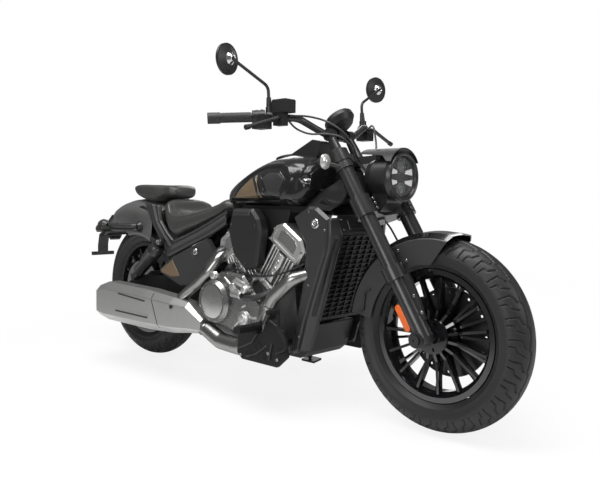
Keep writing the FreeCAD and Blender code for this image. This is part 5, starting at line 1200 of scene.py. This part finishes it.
ELBOW = rounded([(1.124, -0.167, 0.48), (1.1, -0.188, 0.468), (1.024, -0.204, 0.4), (1.006, -0.206, 0.369)],
    0.09, 14)
UNDER = rounded([(0.946, -0.208, 0.252), (0.938, -0.208, 0.236), (0.862, -0.208, 0.19),
    (0.74, -0.208, 0.196), (0.655, -0.208, 0.23)], 0.06)
fitted("header_elbow_cover", [swept(ELBOW, [0.0225, 0.0255, 0.0262, 0.0262, 0.0258, 0.024])], polished,
    smooth=True)
fitted("header_lower_cover", [swept(UNDER, [0.0225, 0.0315, 0.0325, 0.0325, 0.0325, 0.0325, 0.031])],
    polished, smooth=True)
flange = Vector((1.001, -0.2063, 0.36))
fitted("header_clamp", [turned(flange, Vector((-0.046, -0.004, -0.078)), [(-0.007, 0.0225), (-0.006, 0.0265),
    (0.004, 0.0265), (0.006, 0.0225)], 36)], screw_steel)
fitted("rear_header_cover", [swept(rounded([(0.668, -0.112, 0.556), (0.664, -0.15, 0.536),
    (0.64, -0.196, 0.47), (0.61, -0.203, 0.424)], 0.04), [0.02, 0.0245, 0.0245, 0.024, 0.0235])],
    screw_black, smooth=True)

# Rear turn signals. A round smoked lens in a black shell, on a thick bent rubber stalk from a boss
# on the fender's side.

signals, lenses = [], []
for s in (1, -1):
    signals.append(turned((0.04, s * 0.112, 0.62), (0, s, 0), [(0, 0.026), (0.006, 0.025), (0.022, 0.013),
        (0.028, 0.01)], 32))
    signals.append(swept(rounded([(0.04, s * 0.118, 0.62), (0.036, s * 0.142, 0.62),
        (-0.088, s * 0.202, 0.621)], 0.02), [0.01, 0.0125, 0.0125, 0.0125, 0.0115]))
    back = Vector((-1, s * 0.18, 0))
    signals.append(turned((-0.084, s * 0.21, 0.621), back, [(0, 0.01), (0.004, 0.02), (0.014, 0.0265),
        (0.03, 0.0285), (0.034, 0.027)], 40))
    lenses.append(turned((-0.118, s * 0.216, 0.621), back, [(-0.002, 0.0268), (0.01, 0.024), (0.02, 0.017),
        (0.026, 0.008), (0.028, 0.0005)], 40))
fitted("rear_signal_bodies", signals, screw_black, smooth=True)
fitted("rear_signal_lenses", lenses, smoked, smooth=True)

# Studio. A plain pale floor that fades to white, a surround that looks white and fills dimly, and
# soft lamps overhead and at both sides.

WORLD_FILL = 0.2
FADE_FROM, FADE_TO = 1.0, 2.1
FLOOR_SHARE = 0.84


def studio_floor():
    """A floor that turns to plain white away from the machine."""
    mesh = bpy.data.meshes.new("floor")
    mesh.from_pydata([(-9, -9, 0), (9, -9, 0), (9, 9, 0), (-9, 9, 0)], [], [(0, 1, 2, 3)])
    finish = Finish("pale_floor", Roughness=0.9, Base_Color=rgba(0.8))
    seen = finish.node("ShaderNodeLightPath", output="Is Camera Ray")
    place = finish.node("ShaderNodeTexCoord", output="Object")
    away = finish.node("ShaderNodeVectorMath", {"operation": "LENGTH"}, {0: place}, output="Value")
    fade = finish.node("ShaderNodeMapRange", {}, {"Value": away, "From Min": FADE_FROM, "From Max": FADE_TO,
        "To Min": FLOOR_SHARE})
    white = finish.node("ShaderNodeEmission", {}, {"Color": rgba(1.0), "Strength": 1.0})
    lit = Value(finish, finish.shader.outputs[0])
    both = finish.node("ShaderNodeMixShader", {}, {0: seen * fade, 1: lit, 2: white})
    finish.feed(finish.tree.nodes["Material Output"].inputs["Surface"], both)
    mesh.materials.append(finish.material)
    piece = bpy.data.objects.new("floor", mesh)
    bpy.context.scene.collection.objects.link(piece)


def surround():
    """White to the camera's eye, and a dim even fill to everything else."""
    world = bpy.data.worlds.new("studio")
    bpy.context.scene.world = world
    world.use_nodes = True
    nodes = Nodes(world.node_tree)
    kinds = ("Is Camera Ray", "Is Transmission Ray")
    rays = [nodes.node("ShaderNodeLightPath", output=kind) for kind in kinds]
    seen = nodes.node("ShaderNodeMath", {"operation": "MAXIMUM"}, dict(enumerate(rays)))
    level = nodes.node("ShaderNodeMapRange", {}, {"Value": seen, "To Min": WORLD_FILL})
    back = nodes.tree.nodes["Background"]
    nodes.feed(back.inputs["Color"], rgba(1.0))
    nodes.feed(back.inputs["Strength"], level)


def softbox(name, at, towards, size, power):
    """A rectangular area lamp that faces a point."""
    lamp = bpy.data.lights.new(name, "AREA")
    lamp.shape = "RECTANGLE"
    lamp.size, lamp.size_y = size
    lamp.energy = power
    light = bpy.data.objects.new(name, lamp)
    light.location = at
    light.rotation_mode = "QUATERNION"
    light.rotation_quaternion = (Vector(towards) - Vector(at)).to_track_quat("-Z", "Y")
    bpy.context.scene.collection.objects.link(light)


studio_floor()
surround()
SOFTBOXES = [
    ("overhead", (0.3, -0.6, 3.4), (0, 0, 0.4), (3.2, 1.6), 150),
    ("camera_side", (1.2, -4.2, 2.2), (0.1, 0, 0.5), (2.0, 1.6), 70),
    ("front_side", (4.2, 0.9, 2.2), (0.1, 0, 0.5), (1.4, 1.6), 45),
    ("far_side", (-1.8, 3.0, 2.4), (0, 0, 0.6), (2.5, 1.5), 40)]
for lamp in SOFTBOXES:
    softbox(*lamp)

# Camera. It stands where the photograph was taken from, at the height of the tank's side, and is
# placed with the upright machine, so it leans with it.

FOCAL_PIXELS, PHOTO_WIDTH = 686.973, 600
CAMERA_AT = (2.79092, -1.94439, 0.7525)
CAMERA_TURN, CAMERA_PITCH, CAMERA_ROLL = 133.26335, -3.32534, 0.84939
camera = bpy.data.cameras.new("camera")
camera.sensor_width = 36.0
camera.lens = FOCAL_PIXELS / PHOTO_WIDTH * camera.sensor_width
view = bpy.data.objects.new("camera", camera)
bpy.context.scene.collection.objects.link(view)
turn, pitch, roll = (math.radians(a) for a in (CAMERA_TURN, CAMERA_PITCH, CAMERA_ROLL))
ahead = Vector((math.cos(pitch) * math.cos(turn), math.cos(pitch) * math.sin(turn), math.sin(pitch)))
right = Vector((math.sin(turn), -math.cos(turn), 0))
up = right.cross(ahead)
right, up = right * math.cos(roll) + up * math.sin(roll), up * math.cos(roll) - right * math.sin(roll)
stand = Matrix((right, up, -ahead)).transposed().to_4x4()
stand.translation = CAMERA_AT
view.matrix_world = park @ stand
bpy.context.scene.camera = view
bpy.context.scene.view_settings.view_transform = "Standard"
